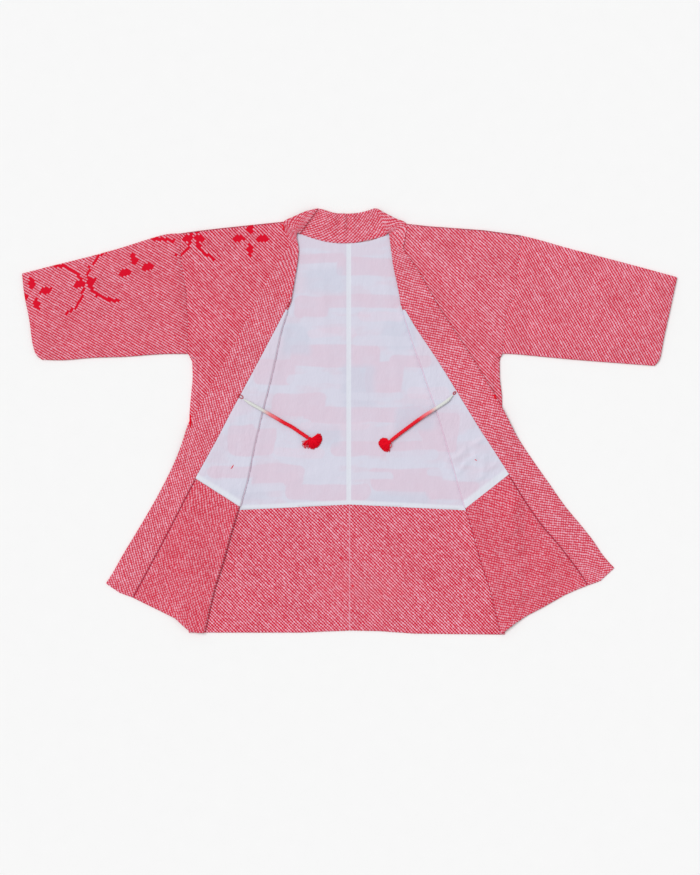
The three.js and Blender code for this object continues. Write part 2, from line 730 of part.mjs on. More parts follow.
for (const side of SIDES) {
  add(`body_${side.name}`, bodyHalf(side), RED);
  add(`back_facing_${side.name}`, backFacing(side), RED);
  add(`back_lining_${side.name}`, backLining(side), PALE);
  add(`front_lining_${side.name}`, frontLining(side), PALE);
  add(`front_facing_${side.name}`, frontFacing(side), RED);
  add(`gusset_${side.name}`, gusset(side), RED);
  add(`sleeve_${side.name}`, sleeve(side), RED);
  add(`himo_${side.name}`, cord(side), CORD_WHITE);
  add(`chi_${side.name}`, threadLoop(side), CORD_RED);
  add(`tassel_${side.name}`, tassel(side), CORD_RED);
}
add("collar", collar(), RED);

export default haori;
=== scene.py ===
"""A shibori haori laid out flat on its back, its fronts folded open over their linings.

The tables are in millimetres: "out" is the distance from the centre line, "up" the distance
towards the collar. Blender's objects are in metres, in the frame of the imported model.
"""

import math

import bpy
import numpy as np
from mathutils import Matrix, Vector


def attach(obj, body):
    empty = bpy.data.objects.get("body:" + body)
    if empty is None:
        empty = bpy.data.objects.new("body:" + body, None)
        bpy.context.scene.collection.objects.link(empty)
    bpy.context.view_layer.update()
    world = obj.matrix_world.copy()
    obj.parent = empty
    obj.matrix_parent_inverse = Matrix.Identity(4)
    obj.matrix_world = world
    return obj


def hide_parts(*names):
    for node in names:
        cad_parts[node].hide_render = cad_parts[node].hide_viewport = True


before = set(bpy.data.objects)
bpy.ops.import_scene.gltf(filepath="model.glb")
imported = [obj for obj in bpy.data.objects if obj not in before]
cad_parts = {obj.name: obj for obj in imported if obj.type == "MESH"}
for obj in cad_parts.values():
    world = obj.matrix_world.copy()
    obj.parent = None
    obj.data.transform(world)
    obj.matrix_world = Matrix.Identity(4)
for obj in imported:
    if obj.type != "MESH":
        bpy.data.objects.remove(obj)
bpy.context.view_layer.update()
MM = 0.001
RNG = np.random.default_rng(7)

# ---------------------------------------------------------------- sizes

# The thickness of each cloth and the gap between layers, and from these how high the middles
# of the back, of the front and of the folded front lie. Linings and facings lie off these.
CLOTH, LINING, COLLAR, GAP = 1.2, 1.0, 2.4, 0.3
BACK_MID = CLOTH / 2
FRONT_MID = BACK_MID + 2 * (CLOTH + GAP)
FOLDED_MID = FRONT_MID + CLOTH + GAP
FOLDED_BASE = FOLDED_MID - CLOTH / 2
FACING_LIFT = CLOTH + GAP
LINING_LIFT = (CLOTH + LINING) / 2 + GAP
FOLD_RADIUS = (FOLDED_MID - FRONT_MID) / 2
TURN_RADIUS = (FRONT_MID - BACK_MID) / 2
TURN_REACH = TURN_RADIUS + CLOTH / 2
TURNED = FOLD_RADIUS + CLOTH / 2
BEND = math.pi * FOLD_RADIUS
DROP_START, DROP_LENGTH = 12, 34  # where a folded front leaves the layers for the floor
FACING_TOP, FACING_DIP, LINING_INSET = -160, 0.05, 6
FACING_ROW = 6  # the row of the folded front where its facing ends
GUSSET_TOP, GUSSET_HEM, ARMPIT = 8, 66, 124
CLOTH_TOP = 392  # just above the highest shoulder

# The tied dots lie on a square lattice at 45 degrees to the grain. A mesh with this pitch
# along and across the grain has a dot on every second vertex.
PITCH = 3.25
DOT = PITCH * math.sqrt(2)
RELIEF = 0.45
SEAM_SINK = 2.2
LINING_PITCH, FRONT_LINING_PITCH = 5.5, 2.75
RIM = 0.4  # width of the first column, so that the rim is not shaded into the cloth
RIM_BULGE = 0.2  # how far the middle of a rim stands out, in thicknesses of the cloth
MERGE = 50  # places of a cloth that agree when counted in fiftieths of a millimetre are one
TURN_STEPS = 6
BEND_STOPS = np.linspace(1, 0, 7)
NECK_ROWS = 330  # from here up the back has rows of the full pitch
SLEEVE_ALONG, SLEEVE_OVER, SLEEVE_UNDER = 96, 66, 22  # steps along, over and under a sleeve
SLEEVE_LENGTH, ARMHOLE_IN = 330, 0.2
COLLAR_WIDTH = 60
COLLAR_STEPS, COLLAR_JOINT = 20, 16  # across the collar, and between its halves at the neck
NECK_UP = 340  # above this the collar has its puckers
# The dark thread beside the collar, dark red as painted shadow for the seam's groove: its
# radius, how far it lies above the front's cloth and how far inside the seam. The rolled edge
# of a front: its radius; the lining's roll is made paler as painted light, the facing's is a
# dark roll of painted shadow.
SEAM_THREAD, SEAM_HEIGHT, SEAM_OFF, SEAM_STEPS = 0.85, 2.1, 1.3, 90
FOLD_ROLL, ROLL_STEPS = 0.75, 140
THREAD_SIDES = 7
TUBE_GRAIN = 20  # how wide a tube is in its flat cut

RIGHT = {
    "name": "right",
    "sign": -1,
    "lip": 0.3,
    "lining_start": -1.5,  # its edge lies under the left half's
    "neck_out": 102.5,
    "shoulder": [(102.5, 391), (144, 387), (207, 380.5), (258, 375), (292, 371), (327, 366)],
    "neck": [(0, 346.5), (23, 346.5), (47, 349.5), (74, 359), (90, 364), (98.5, 366)],
    "front_neck": [(391, 102.5), (335, 105), (300, 107), (268, 112)],
    "outline": [
        (366, 327), (314, 327), (243, 315.5), (188, 313.5), (132, 313.5),
        (124, 305.5), (86, 304), (17, 310.5), (-408, 312),
    ],
    "hem": [(0, -404), (95, -408), (312, -408)],
    # fold, seam with the collar, and the collar's free edge, from the crossing to the hem
    "folded": [
        ((113, 238), (113, 238), (166, 263)),
        ((133, 178), (141, 185), (193, 211)),
        ((150, 101), (178, 115), (229, 143)),
        ((178, -15), (234, 11), (287, 39)),
        ((188, -58), (254, -28), (310, 2)),
        ((197, -103), (276, -68), (325, -42)),
        ((213, -163), (299, -109), (341, -82)),
        ((228, -210), (327, -163), (369, -138)),
        ((244, -268), (354, -215), (398, -189)),
        ((262, -326), (382, -268), (430, -242)),
        ((281, -408), (421, -340), (472, -313)),
    ],
    # the collar from the crossing to the back of the neck: inner edge, free edge, and how
    # high each of them lies
    "collar": [
        ((107.5, 270), (154.5, 285), 4.5, 4.5),
        ((102, 303), (142, 305), 4.5, 4.5),
        ((99.5, 324), (129, 322), 4.5, 4.5),
        ((99, 336), (120.5, 335.5), 4.5, 4.5),
        ((100.5, 346), (116.5, 348), 4.5, 4.5),
        ((102.5, 355), (120.5, 362), 4.5, 4.5),
        ((103, 361), (125, 375), 4.5, 4.5),
        ((102, 364.5), (127, 388), 4.8, 4.6),
        ((101, 366), (108, 398), 5.6, 5),
        ((99.8, 366.6), (85, 408), 6.4, 5.4),
        ((98, 366), (62.5, 413.8), 6.8, 5.6),
        ((97.2, 365.3), (61.8, 413.8), 1.1, 0.6),
        ((88.5, 362.6), (56, 413), 1.1, 0.6),
        ((74, 357.4), (46, 410), 1.1, 1.1),
        ((47, 350.3), (29, 405), 1.1, 1.1),
        ((23, 347.3), (13, 404), 1.1, 1.1),
        ((9, 347), (6, 403.6), 1.1, 1.1),
    ],
    "sleeve_top": [
        (327, 366), (356, 364), (408, 349), (436, 340), (510, 319.5), (571, 304.5), (635, 288),
    ],
    "sleeve_bottom": [
        (314, 132), (353, 132), (390, 130), (436, 126.5), (500, 124.5), (556, 120), (596, 121),
    ],
    "cuff": [(635, 288), (630.5, 247), (621, 199), (614, 150), (607, 130), (596, 121)],
    "cord": [
        (204.7, 43.8, 10.6), (189.7, 34.7, 10.6), (179.6, 29.1, 10.6), (169, 23.1, 10.3),
        (157.3, 16.5, 8.7), (147, 10.5, 7), (137.7, 4.9, 6.2), (125.3, -2.3, 6.1),
        (111.7, -9.5, 6.1), (96.2, -20, 6.1), (80.7, -30.3, 6.1),
    ],
    "cord_length": 0.145,
    "dye": (0.26, 0.62),
    "loop": (210.9, 49.2, 8.6),
    "loop_size": (4.9, 2.8),
    "tassel": {
        "head": (76.9, -33.1, 7.4), "curl": 3, "loose": (98, 158), "strays": 26,
        "lengths": [
            (-33, 20), (-28, 23), (-9, 24.3), (14, 23), (45, 22), (57, 19.5), (70, 21.5), (82, 18),
            (96, 15),
        ],
    },
}

LEFT = {
    "name": "left",
    "sign": 1,
    "lip": 1.6,
    "lining_start": 0.0,
    "neck_out": 80,
    "shoulder": [(80, 387), (107, 385), (152, 380), (261, 372), (332, 362)],
    "neck": [(0, 346.5), (22, 348.2), (46, 352.5), (64, 361), (73, 364)],
    "front_neck": [(387, 80), (335, 86), (300, 90), (268, 97)],
    "outline": [
        (362, 332), (244, 321), (219, 304), (170, 299.5), (132, 296),
        (124, 291), (86, 291), (52, 295.5), (-412, 301),
    ],
    "hem": [(0, -404), (55, -405), (126, -410), (301, -412)],
    "folded": [
        ((99, 233), (99, 233), (148, 266)),
        ((116, 178), (127, 185), (176, 218)),
        ((143, 101), (171, 119), (221, 150)),
        ((181, -15), (233, 18), (283, 50)),
        ((194, -58), (256, -19), (303.5, 13)),
        ((207, -103), (281, -57), (324.5, -28)),
        ((225, -166), (309, -101), (352, -70)),
        ((238, -210), (339, -149), (385, -117)),
        ((254, -268), (372, -197), (416.5, -162)),
        ((273, -326), (411, -243), (453, -206)),
        ((293, -411), (463, -315), (513, -283)),
    ],
    "collar": [
        ((92, 270), (135.5, 289), 4.5, 4.5),
        ((85, 303), (119, 313), 4.5, 4.5),
        ((82, 324), (108.5, 328), 4.5, 4.5),
        ((80, 339.5), (103.5, 338), 4.5, 4.5),
        ((78.5, 351), (106.5, 351), 4.5, 4.5),
        ((77.5, 358.5), (108.5, 364), 4.5, 4.5),
        ((77, 362.5), (111, 379), 4.5, 4.5),
        ((76, 365.5), (107, 387), 4.6, 4.5),
        ((74.5, 366.3), (90, 394), 4.8, 4.5),
        ((73, 365), (70.5, 404), 4.8, 4.2),
        ((71, 363.2), (54, 413), 4.6, 3.8),
        ((69.4, 362.2), (52, 413.6), 1.3, 1.2),
        ((63, 359.6), (48, 413.8), 1.1, 1.1),
        ((46, 355), (37, 410), 1.1, 1.1),
        ((22, 350), (18, 405.5), 1.1, 1.1),
        ((9, 347.6), (7, 404), 1.1, 1.1),
    ],
    "sleeve_top": [(332, 362), (365, 354), (421, 338), (486, 321), (560, 301.5), (635, 281)],
    "sleeve_bottom": [(296, 132), (312, 132), (434, 121), (564, 111), (591, 109)],
    "cuff": [(635, 281), (622.5, 223), (609, 162), (600.5, 121), (591, 109)],
    "cord": [
        (200.2, 52.4, 10.6), (189.3, 41.4, 10.6), (175.8, 32.1, 10.6), (162.2, 23.4, 10),
        (148.4, 14.6, 7.8), (134.8, 5.2, 6.2), (121.3, -4.6, 6.1), (107.6, -14.9, 6.1),
        (94.1, -25, 6.1), (80.3, -36.1, 6.1),
    ],
    "cord_length": 0.149,
    "dye": (0.24, 0.58),
    "loop": (203.2, 56.2, 8.4),
    "loop_size": (3.2, 1.9),
    "tassel": {
        "head": (77.2, -38.9, 7.4), "curl": -2, "loose": (84, 94), "strays": 5,
        "lengths": [
            (-48, 8), (-33, 13.6), (-16, 18.6), (7, 21.6), (41, 20.4), (62, 20.6), (77, 19.8),
            (84, 13),
        ],
        "ring": (79.2, -45.4, 6.5),
    },
}
SIDES = (RIGHT, LEFT)

CORD_RADIUS, CORD_STEPS = 3.2, 330
TASSEL_HEAD, TASSEL_STRANDS, STRAY_RING = 4.2, 230, 2.3
LOOP_RISE, PLY_APART, PLY_TURNS = 1.0, 0.42, 9
FLOOR_HALF, WORLD_STRENGTH = 40.0, 0.58

# ---------------------------------------------------------------- camera

VIEW_CENTRE = (0.0008, -0.0300)
VIEW_HEIGHT = 1.6975
CAMERA_HEIGHT = 6.0


def add_camera():
    data = bpy.data.cameras.new("camera")
    data.sensor_width = 36
    data.lens = data.sensor_width * CAMERA_HEIGHT / VIEW_HEIGHT
    data.clip_end = 50
    camera = bpy.data.objects.new("camera", data)
    camera.location = (*VIEW_CENTRE, CAMERA_HEIGHT)
    bpy.context.collection.objects.link(camera)
    bpy.context.scene.camera = camera


add_camera()

# ---------------------------------------------------------------- curves


def smooth(f):
    f = np.clip(f, 0, 1)
    return f * f * (3 - 2 * f)


def look_up(table, value):
    """The second column of a table where its first column has this value."""
    rows = np.array(sorted((row[0], row[1]) for row in table), float)
    return np.interp(value, rows[:, 0], rows[:, 1])


def through(points, steps=24):
    """A smooth line through points: the share of the points passed, and where it is."""
    p = np.array(points, float)
    p = np.vstack([2 * p[0] - p[1], p, 2 * p[-1] - p[-2]])
    out = []
    t = np.linspace(0, 1, steps, endpoint=False)[:, None]
    for i in range(1, len(p) - 2):
        a, b, c, d = p[i - 1 : i + 3]
        squares = (float(((q - r) ** 2).sum()) for q, r in ((b, a), (c, b), (d, c)))
        g0, g1, g2 = (max(square, 1e-9) ** 0.25 for square in squares)
        start = ((b - a) / g0 - (c - a) / (g0 + g1) + (c - b) / g1) * g1
        end = ((c - b) / g1 - (d - b) / (g1 + g2) + (d - c) / g2) * g1
        cubic = 2 * b - 2 * c + start + end
        square = -3 * b + 3 * c - 2 * start - end
        out.append(b + start * t + square * t**2 + cubic * t**3)
    line = np.vstack([*out, p[-2:-1]])
    return np.linspace(0, 1, len(line)), line


def at(line, share):
    """Points of a smooth line at shares of its parameter."""
    t, p = line
    return np.stack([np.interp(share, t, p[:, k]) for k in range(p.shape[1])], -1)


def run_along(p):
    """The length passed at each point of a line."""
    return np.r_[0, np.cumsum(np.linalg.norm(np.diff(p, axis=0), axis=1))]


def by_length(line):
    """The same line with shares of its length instead."""
    run = run_along(line[1])
    return run / run[-1], line[1]


def placed(side, out, *rest):
    """Places of the frame, for distances out from the centre line on one side."""
    return np.stack([side["sign"] * out, *rest], -1)


def unit(vectors):
    return vectors / np.maximum(np.linalg.norm(vectors, axis=-1, keepdims=True), 1e-9)


def side_out(side, up):
    return look_up(side["outline"], up)


def gusset_width(side, up):
    bottom = side["hem"][-1][1]
    width = GUSSET_TOP + (GUSSET_HEM - GUSSET_TOP) * (ARMPIT - up) / (ARMPIT - bottom)
    return np.where(up > ARMPIT, 0, width)


def support(side, out, up):
    """How high a folded front lies: on the layers below it, and beyond them on the floor."""
    beyond = out - side_out(side, up) - DROP_START
    return FOLDED_BASE * (1 - smooth(beyond / DROP_LENGTH))


for each in SIDES:
    each["lines"] = [through([row[k] for row in each["folded"]]) for k in range(3)]
    each["crossing"] = each["folded"][0][0][1]
    each["bottom"] = each["folded"][-1][0][1]


def folded_at(side, up):
    """The fold, the collar seam and the collar's free edge at heights of the fold."""
    ups = [row[0][1] for row in side["folded"]]
    steps = look_up(list(zip(ups, range(len(ups)))), up) / (len(ups) - 1)
    return [at(line, steps) for line in side["lines"]]


def turn_at(side, up):
    """For each height of the front: where its fold begins, which way the cloth lies beyond
    the fold, and how far it runs on."""
    up = np.asarray(up, float)
    fold, seam, _ = folded_at(side, up)
    top = side["crossing"]
    open_front = look_up([(top, fold_start(side)), *side["front_neck"]], up)
    share = np.clip((top - up) / 21, 0, 1)
    start = fold[..., 0] - 1 + share * (1 + TURNED)
    away = seam - np.stack([start, up], -1)
    length = np.linalg.norm(away, axis=-1)
    reach = share * (length + BEND - GAP)
    away /= np.maximum(length, 1e-6)[..., None]
    below = up <= top
    return (
        np.where(below, start, open_front),
        np.where(below[..., None], away, [1, 0]),
        np.where(below, reach, 0),
    )


def fold_start(side):
    return side["folded"][0][0][0] - 1


# ---------------------------------------------------------------- soft creases
# Each is a line, the width and height of a soft ridge (or trough, where negative) and how
# uneven it is. They are the same for all layers that lie on each other.

FRONT_CREASES = {
    "right": [
        ((300, 150), (215, 190), 16, 1.6),
        ((296, 110), (232, 70), 14, 1.2),
        ((250, 330), (190, 250), 22, 1.4),
        ((305, 300), (262, 190), 20, 1.1),
        ((330, -190), (300, -330), 15, 1.6),
        ((395, -240), (352, -330), 13, 1.2),
        ((270, -60), (232, -8), 13, 0.9),
        ((224, -195), (281, -405), 9, 1.8),
    ],
    "left": [
        ((285, 150), (205, 205), 16, 1.5),
        ((290, 90), (240, 60), 13, 1.3),
        ((280, 340), (185, 270), 24, 1.3),
        ((318, -120), (330, -330), 13, 2.2),
        ((336, -196), (278, -247), 5, 2.4),
        ((330, -150), (300, -200), 13, 2.4),
        ((374, -160), (352, -215), 12, 2.0),
        ((300, -292), (380, -265), 13, 2.2),
        ((340, -335), (425, -285), 11, 1.7),
        ((400, -180), (372, -300), 16, 1.3),
        ((245, -60), (225, 10), 13, 1.0),
        ((206, -68), (257, -34), 5, 1.5),
        ((212, -95), (240, -68), 5, 1.4),
        ((224, -141), (275, -96), 7, -1.3),
        ((262, -72), (256, -106), 5, 1.5),
        ((232, -50), (236, -90), 5, -1.2),
        ((248, -114), (280, -86), 5, 1.4),
    ],
}
SLEEVE_CREASES = {
    "right": [
        ((345, 250), (470, 225), 26, 1.8),
        ((372, 166), (600, 158), 14, -2.6),
        ((480, 290), (600, 230), 24, 1.3),
        ((330, 330), (420, 290), 20, 1.4),
        ((330, 150), (350, 245), 15, 1.2),
    ],
    "left": [
        ((332, 240), (347, 200), 9, -2.0),
        ((347, 200), (350, 168), 10, -1.6),
        ((370, 290), (520, 215), 26, 1.7),
        ((430, 160), (590, 150), 20, 1.3),
        ((560, 250), (600, 190), 22, 1.0),
    ],
}
LINING_CREASES = {
    "right": [
        ((60, 300), (40, 120), 9, 0.7),
        ((120, 60), (40, -40), 11, 0.6),
        ((30, -90), (150, -130), 9, 0.6),
    ],
    "left": [
        ((70, 260), (95, 60), 10, 0.7),
        ((110, 30), (50, -90), 11, 0.6),
        ((120, -60), (180, -140), 9, 0.6),
    ],
}
# The collar's, whose places are those of the frame and not outward from the centre line.
COLLAR_CREASES = [
    ((76, 364), (107, 379), 3, -1.8),
    ((60, 409), (71, 374), 3, 1.3),
    ((-112, 372), (-98, 352), 4, 1.2),
]
# The small upright folds in the back of the neck: place, width and height.
PUCKERS = [
    (-21, 2.8, -2.6), (-12, 4.2, 2.4), (-3, 2.8, -2.6), (7, 5, 1.6), (-31, 5, 1.4), (-47, 5, 0.9),
    (36, 6, 0.9),
]
# How far the hem of a folded front strays from a straight line, by its place out from the
# centre line.
HEM_STRAY = {
    "right": [
        (281, 0), (296, -7), (311, -11), (325, -6), (338, 0), (421, 0), (446, -4), (472, 0),
    ],
    "left": [
        (293, 0), (322, 6), (346, 7.5), (369, 6), (416, 6), (440, 3), (463, -1), (486, -7.5),
        (513, 0),
    ],
}
STRAY_REACH = 70


def ridges(table, out, up):
    total = np.zeros(np.broadcast(out, up).shape)
    for start, end, width, height in table:
        a = np.array(start, float)
        span = np.array(end, float) - a
        length = math.sqrt(span @ span)
        f = ((out - a[0]) * span[0] + (up - a[1]) * span[1]) / (span @ span)
        wander = 0.3 * width * np.sin(5 * f + a[0])
        across = ((out - a[0]) * span[1] - (up - a[1]) * span[0]) / length + wander
        beyond = (f - np.clip(f, 0, 1)) * length
        taper = 0.75 + 0.25 * np.sin(7 * f + a[1])
        total += height * taper * np.exp(-((across / width) ** 2) - (beyond / (1.6 * width)) ** 2)
    return total


def waves(out, up, size):
    """Slow unevenness, from 0 to 1."""
    x, y = out / size, up / size
    total = np.sin(x + 1.3 * np.sin(y / 1.7)) * np.cos(y / 1.2 + 0.7)
    total = total + 0.6 * np.sin((x + y) / 0.6 + 2) * np.sin((x - 1.4 * y) / 0.8)
    return (total + 1.6) / 3.2


def front_soft(side, out, up):
    """How much the layers of a front rise above their solids."""
    rise = ridges(FRONT_CREASES[side["name"]], out, up) + 1.1 * waves(out, up, 31)
    return np.maximum(rise, 0)


def sleeve_soft(side, out, up, edge):
    """The same for a sleeve's upper layer; edge is the distance to its nearest edge."""
    rise = 2.2 + ridges(SLEEVE_CREASES[side["name"]], out, up) + 1.3 * waves(out, up, 28)
    return np.maximum(rise, 0) * smooth(edge / 34)


# ---------------------------------------------------------------- meshes


def triangles(a, b, c, d):
    """Two triangles for each quad."""
    return np.vstack([np.stack(corners, -1).reshape(-1, 3) for corners in ((a, b, c), (a, c, d))])


def outward(vertices, tris, centre=0):
    """The triangles of a closed form, turned to face out."""
    p, q, r = (vertices[tris[:, k]] - centre for k in range(3))
    return tris[:, ::-1] if np.einsum("ij,ij->i", p, np.cross(q, r)).sum() < 0 else tris


class Sheet:
    """Grids of a cloth's middle: places, places in the flat cut, and the height of the dots."""

    def __init__(self):
        self.grids = []

    def add(self, place, flat, relief=None):
        relief = np.zeros(place.shape[:2]) if relief is None else relief
        self.grids.append((place, flat, relief))
        return self

    def joined(self):
        """One list of points and faces; points that coincide are merged."""
        places = np.vstack([g[0].reshape(-1, 3) for g in self.grids])
        flats = np.vstack([g[1].reshape(-1, 2) for g in self.grids])
        relief = np.concatenate([g[2].ravel() for g in self.grids])
        rounded = np.round(places * MERGE).astype(np.int64)
        _, first, index = np.unique(rounded, axis=0, return_index=True, return_inverse=True)
        index = index.ravel()
        faces, start = [], 0
        for place, _, _ in self.grids:
            n, m = place.shape[:2]
            corner = (start + np.arange(n * m)).reshape(n, m)
            near, far = corner[:-1], corner[1:]
            faces.append(triangles(near[:, :-1], near[:, 1:], far[:, 1:], far[:, :-1]))
            start += n * m
        faces = index[np.vstack(faces)]
        faces = faces[(faces != np.roll(faces, 1, axis=1)).all(1)]
        used, inverse = np.unique(faces, return_inverse=True)
        return places[first][used], flats[first][used], relief[first][used], inverse.reshape(-1, 3)


def normals_of(points, faces):
    a, b, c = (points[faces[:, k]] for k in range(3))
    area = np.cross(b - a, c - a)
    total = np.zeros_like(points)
    for k in range(3):
        np.add.at(total, faces[:, k], area)
    return unit(total)


def wall(name, sheet, thickness):
    """A closed wall round the middle of a cloth, with rounded rims."""
    points, flats, relief, faces = sheet.joined()
    normal = normals_of(points, faces)
    upward = normal[:, 2:] > 0
    half = thickness / 2
    top = points + normal * (half + np.where(upward, relief[:, None], 0))
    low = points - normal * (half + np.where(upward, 0, relief[:, None]))
    count = len(points)
    edges = np.vstack([faces[:, [0, 1]], faces[:, [1, 2]], faces[:, [2, 0]]])
    code = edges[:, 0] * count + edges[:, 1]
    back = edges[:, 1] * count + edges[:, 0]
    rim = edges[~np.isin(code, back)]
    away = np.zeros_like(points)
    push = unit(np.cross(points[rim[:, 1]] - points[rim[:, 0]], normal[rim[:, 0]]))
    for k in range(2):
        np.add.at(away, rim[:, k], push)
    ring = np.unique(rim)
    middle = points[ring] + unit(away[ring]) * RIM_BULGE * thickness
    slot = np.zeros(count, np.int64)
    slot[ring] = 2 * count + np.arange(len(ring))
    a, b = rim[:, 0], rim[:, 1]
    ma, mb, ua, ub = slot[a], slot[b], a + count, b + count
    tris = np.vstack([
        faces, faces[:, ::-1] + count, triangles(b, a, ma, mb), triangles(mb, ma, ua, ub),
    ])
    vertices = np.vstack([top, low, middle])
    uv = np.vstack([flats, flats, flats[ring]])
    piece = make_mesh(name, vertices, outward(vertices, tris), uv)
    u, v, w = (flats[faces[:, k]] for k in range(3))
    area = 0.5 * np.abs(np.cross(v - u, w - u)).sum() * MM * MM
    size = (flats.max(0) - flats.min(0)) * MM
    piece["cut"] = [float(size[0]), float(size[1]), float(area)]
    return piece


def make_mesh(name, vertices, tris, uv):
    mesh = bpy.data.meshes.new(name)
    mesh.vertices.add(len(vertices))
    mesh.vertices.foreach_set("co", (vertices * MM).ravel())
    mesh.loops.add(tris.size)
    mesh.loops.foreach_set("vertex_index", tris.ravel().astype(np.int32))
    mesh.polygons.add(len(tris))
    mesh.polygons.foreach_set("loop_start", np.arange(0, tris.size, 3, dtype=np.int32))
    mesh.polygons.foreach_set("loop_total", np.full(len(tris), 3, np.int32))
    mesh.polygons.foreach_set("use_smooth", np.ones(len(tris), bool))
    layer = mesh.uv_layers.new(name="flat")
    layer.data.foreach_set("uv", (uv[tris.ravel()] * MM).ravel())
    mesh.update()
    mesh.validate()
    piece = bpy.data.objects.new(name, mesh)
    bpy.context.collection.objects.link(piece)
    return piece


def rings(path, radius, sides, wobble=None):
    """A closed tube round a path; wobble(along, round) gives the share by which it swells."""
    path = np.asarray(path, float)
    tangent = unit(np.gradient(path, axis=0))
    across = unit(np.cross(tangent, [0, 0, 1.0]))
    upward = np.cross(across, tangent)
    angle = np.linspace(0, 2 * math.pi, sides, endpoint=False)
    run = run_along(path)
    r = np.broadcast_to(np.asarray(radius, float).reshape(-1, 1), (len(path), sides)).copy()
    if wobble is not None:
        r *= 1 + wobble(run[:, None], angle)
    spoke = np.cos(angle)[:, None] * across[:, None] + np.sin(angle)[:, None] * upward[:, None]
    ring = path[:, None] + r[..., None] * spoke
    n, m = len(path), sides
    i, j = np.meshgrid(np.arange(n - 1), np.arange(m), indexing="ij")
    k = (j + 1) % m
    tube = triangles(i * m + j, i * m + k, (i + 1) * m + k, (i + 1) * m + j)
    u = angle / (2 * math.pi) * TUBE_GRAIN + 0 * run[:, None]
    uv = np.stack([u, run[:, None] + 0 * u], -1).reshape(-1, 2)
    j = np.arange(m)
    k = (j + 1) % m
    ends = [np.stack([k, j, np.full(m, n * m)], -1),
            np.stack([(n - 1) * m + j, (n - 1) * m + k, np.full(m, n * m + 1)], -1)]
    vertices = np.vstack([ring.reshape(-1, 3), path[0], path[-1]])
    tris = outward(vertices, np.vstack([tube, *ends]), path.mean(0))
    return vertices, tris, np.vstack([uv, uv[0], uv[-1]])


def gather(parts):
    """Several closed forms as one mesh."""
    starts = np.cumsum([0] + [len(v) for v, _, _ in parts])
    tris = [t + start for (_, t, _), start in zip(parts, starts)]
    vertices, uvs = (np.vstack([part[k] for part in parts]) for k in (0, 2))
    return vertices, np.vstack(tris), uvs


def steps(low, high, pitch=PITCH):
    """Multiples of the pitch from low to high, with both ends."""
    margin = 0.3 * pitch
    inner = np.arange(math.ceil((low + margin) / pitch), math.floor((high - margin) / pitch) + 1)
    return np.r_[low, inner * pitch, high]


def is_dot(x, y):
    """1 on the vertices that carry a dot."""
    i, j = np.round(x / PITCH), np.round(y / PITCH)
    on = (np.abs(x - i * PITCH) < 0.01) & (np.abs(y - j * PITCH) < 0.01) & ((i + j) % 2 == 0)
    return on.astype(float)


def front_cloth(side, rows, low, high, lift=0.0, pitch=PITCH, mirror=False, dots="none"):
    """A grid over part of a front. low and high are its ends at each row, in the flat cut;
    lift moves it off the middle of the cloth, to its inside."""
    y = np.asarray(rows, float)[:, None]
    fold, away, _ = turn_at(side, y[:, 0])
    fold = fold[:, None]
    low, high = np.asarray(low)[:, None], np.asarray(high)[:, None]
    ends = math.floor(low.min() / pitch) * pitch, math.ceil(high.max() / pitch) * pitch
    x = steps(*ends, pitch)[None, :]
    x = np.hstack([np.minimum(x, fold - BEND), fold - BEND * BEND_STOPS, np.maximum(x, fold)])
    x = np.clip(x, low, high)
    y = y + 0 * x
    top = look_up(side["shoulder"], x) - TURN_REACH
    y = np.where(x - fold >= 0, np.minimum(y, top), y)
    place = lay_front(side, x, y, fold, away, lift)
    flat = placed(side, -x if mirror else x, y)
    dotted = {"outside": x > fold + 1, "inside": x < fold - BEND - 1}.get(dots, False)
    return place, flat, RELIEF * is_dot(x, y) * dotted


def hem_stray(side, out, y):
    share = smooth((side["bottom"] + STRAY_REACH - y) / STRAY_REACH)
    return look_up(HEM_STRAY[side["name"]], out) * share


def lay_front(side, x, y, fold, away, lift):
    """Where places of a front, in the flat cut, come to lie."""
    run = x - fold
    ax, ay = away[:, None, 0], away[:, None, 1]
    # the part that lies as it was
    out, up, z = x.copy(), y.copy(), np.full(x.shape, FRONT_MID - lift)
    # the bend
    angle = np.clip(-run / BEND, 0, 1) * math.pi
    norm = np.sqrt((1 + ax) ** 2 + ay**2)
    bulge = (FOLD_RADIUS + lift) * np.sin(angle)
    bent = (run < 0) & (run > -BEND)
    out = np.where(bent, fold - bulge * (1 + ax) / norm, out)
    up = np.where(bent, y - bulge * ay / norm, up)
    z = np.where(bent, FRONT_MID + FOLD_RADIUS - (FOLD_RADIUS + lift) * np.cos(angle), z)
    # the part that is turned over
    beyond = -run - BEND
    over = beyond >= 0
    out, up = np.where(over, fold + beyond * ax, out), np.where(over, y + beyond * ay, up)
    z = np.where(over, support(side, out, up) + CLOTH / 2 + lift, z)
    z = z + front_soft(side, out, up)
    up = up + np.where(over, hem_stray(side, out, y), 0)
    return placed(side, out, up, z)


def front_end(side, up):
    return side_out(side, up) - gusset_width(side, up)


def facing_level(side):
    return side["folded"][FACING_ROW][0][1]


def turn(z_from):
    """Half a turn: the distances out from its axis, and the heights."""
    angle = np.linspace(0, math.pi, TURN_STEPS + 1)
    return TURN_RADIUS * np.sin(angle), z_from + TURN_RADIUS * (1 - np.cos(angle))


def back_top(side, out):
    return look_up(side["neck"] + [(o, u - TURN_REACH) for o, u in side["shoulder"]], out)


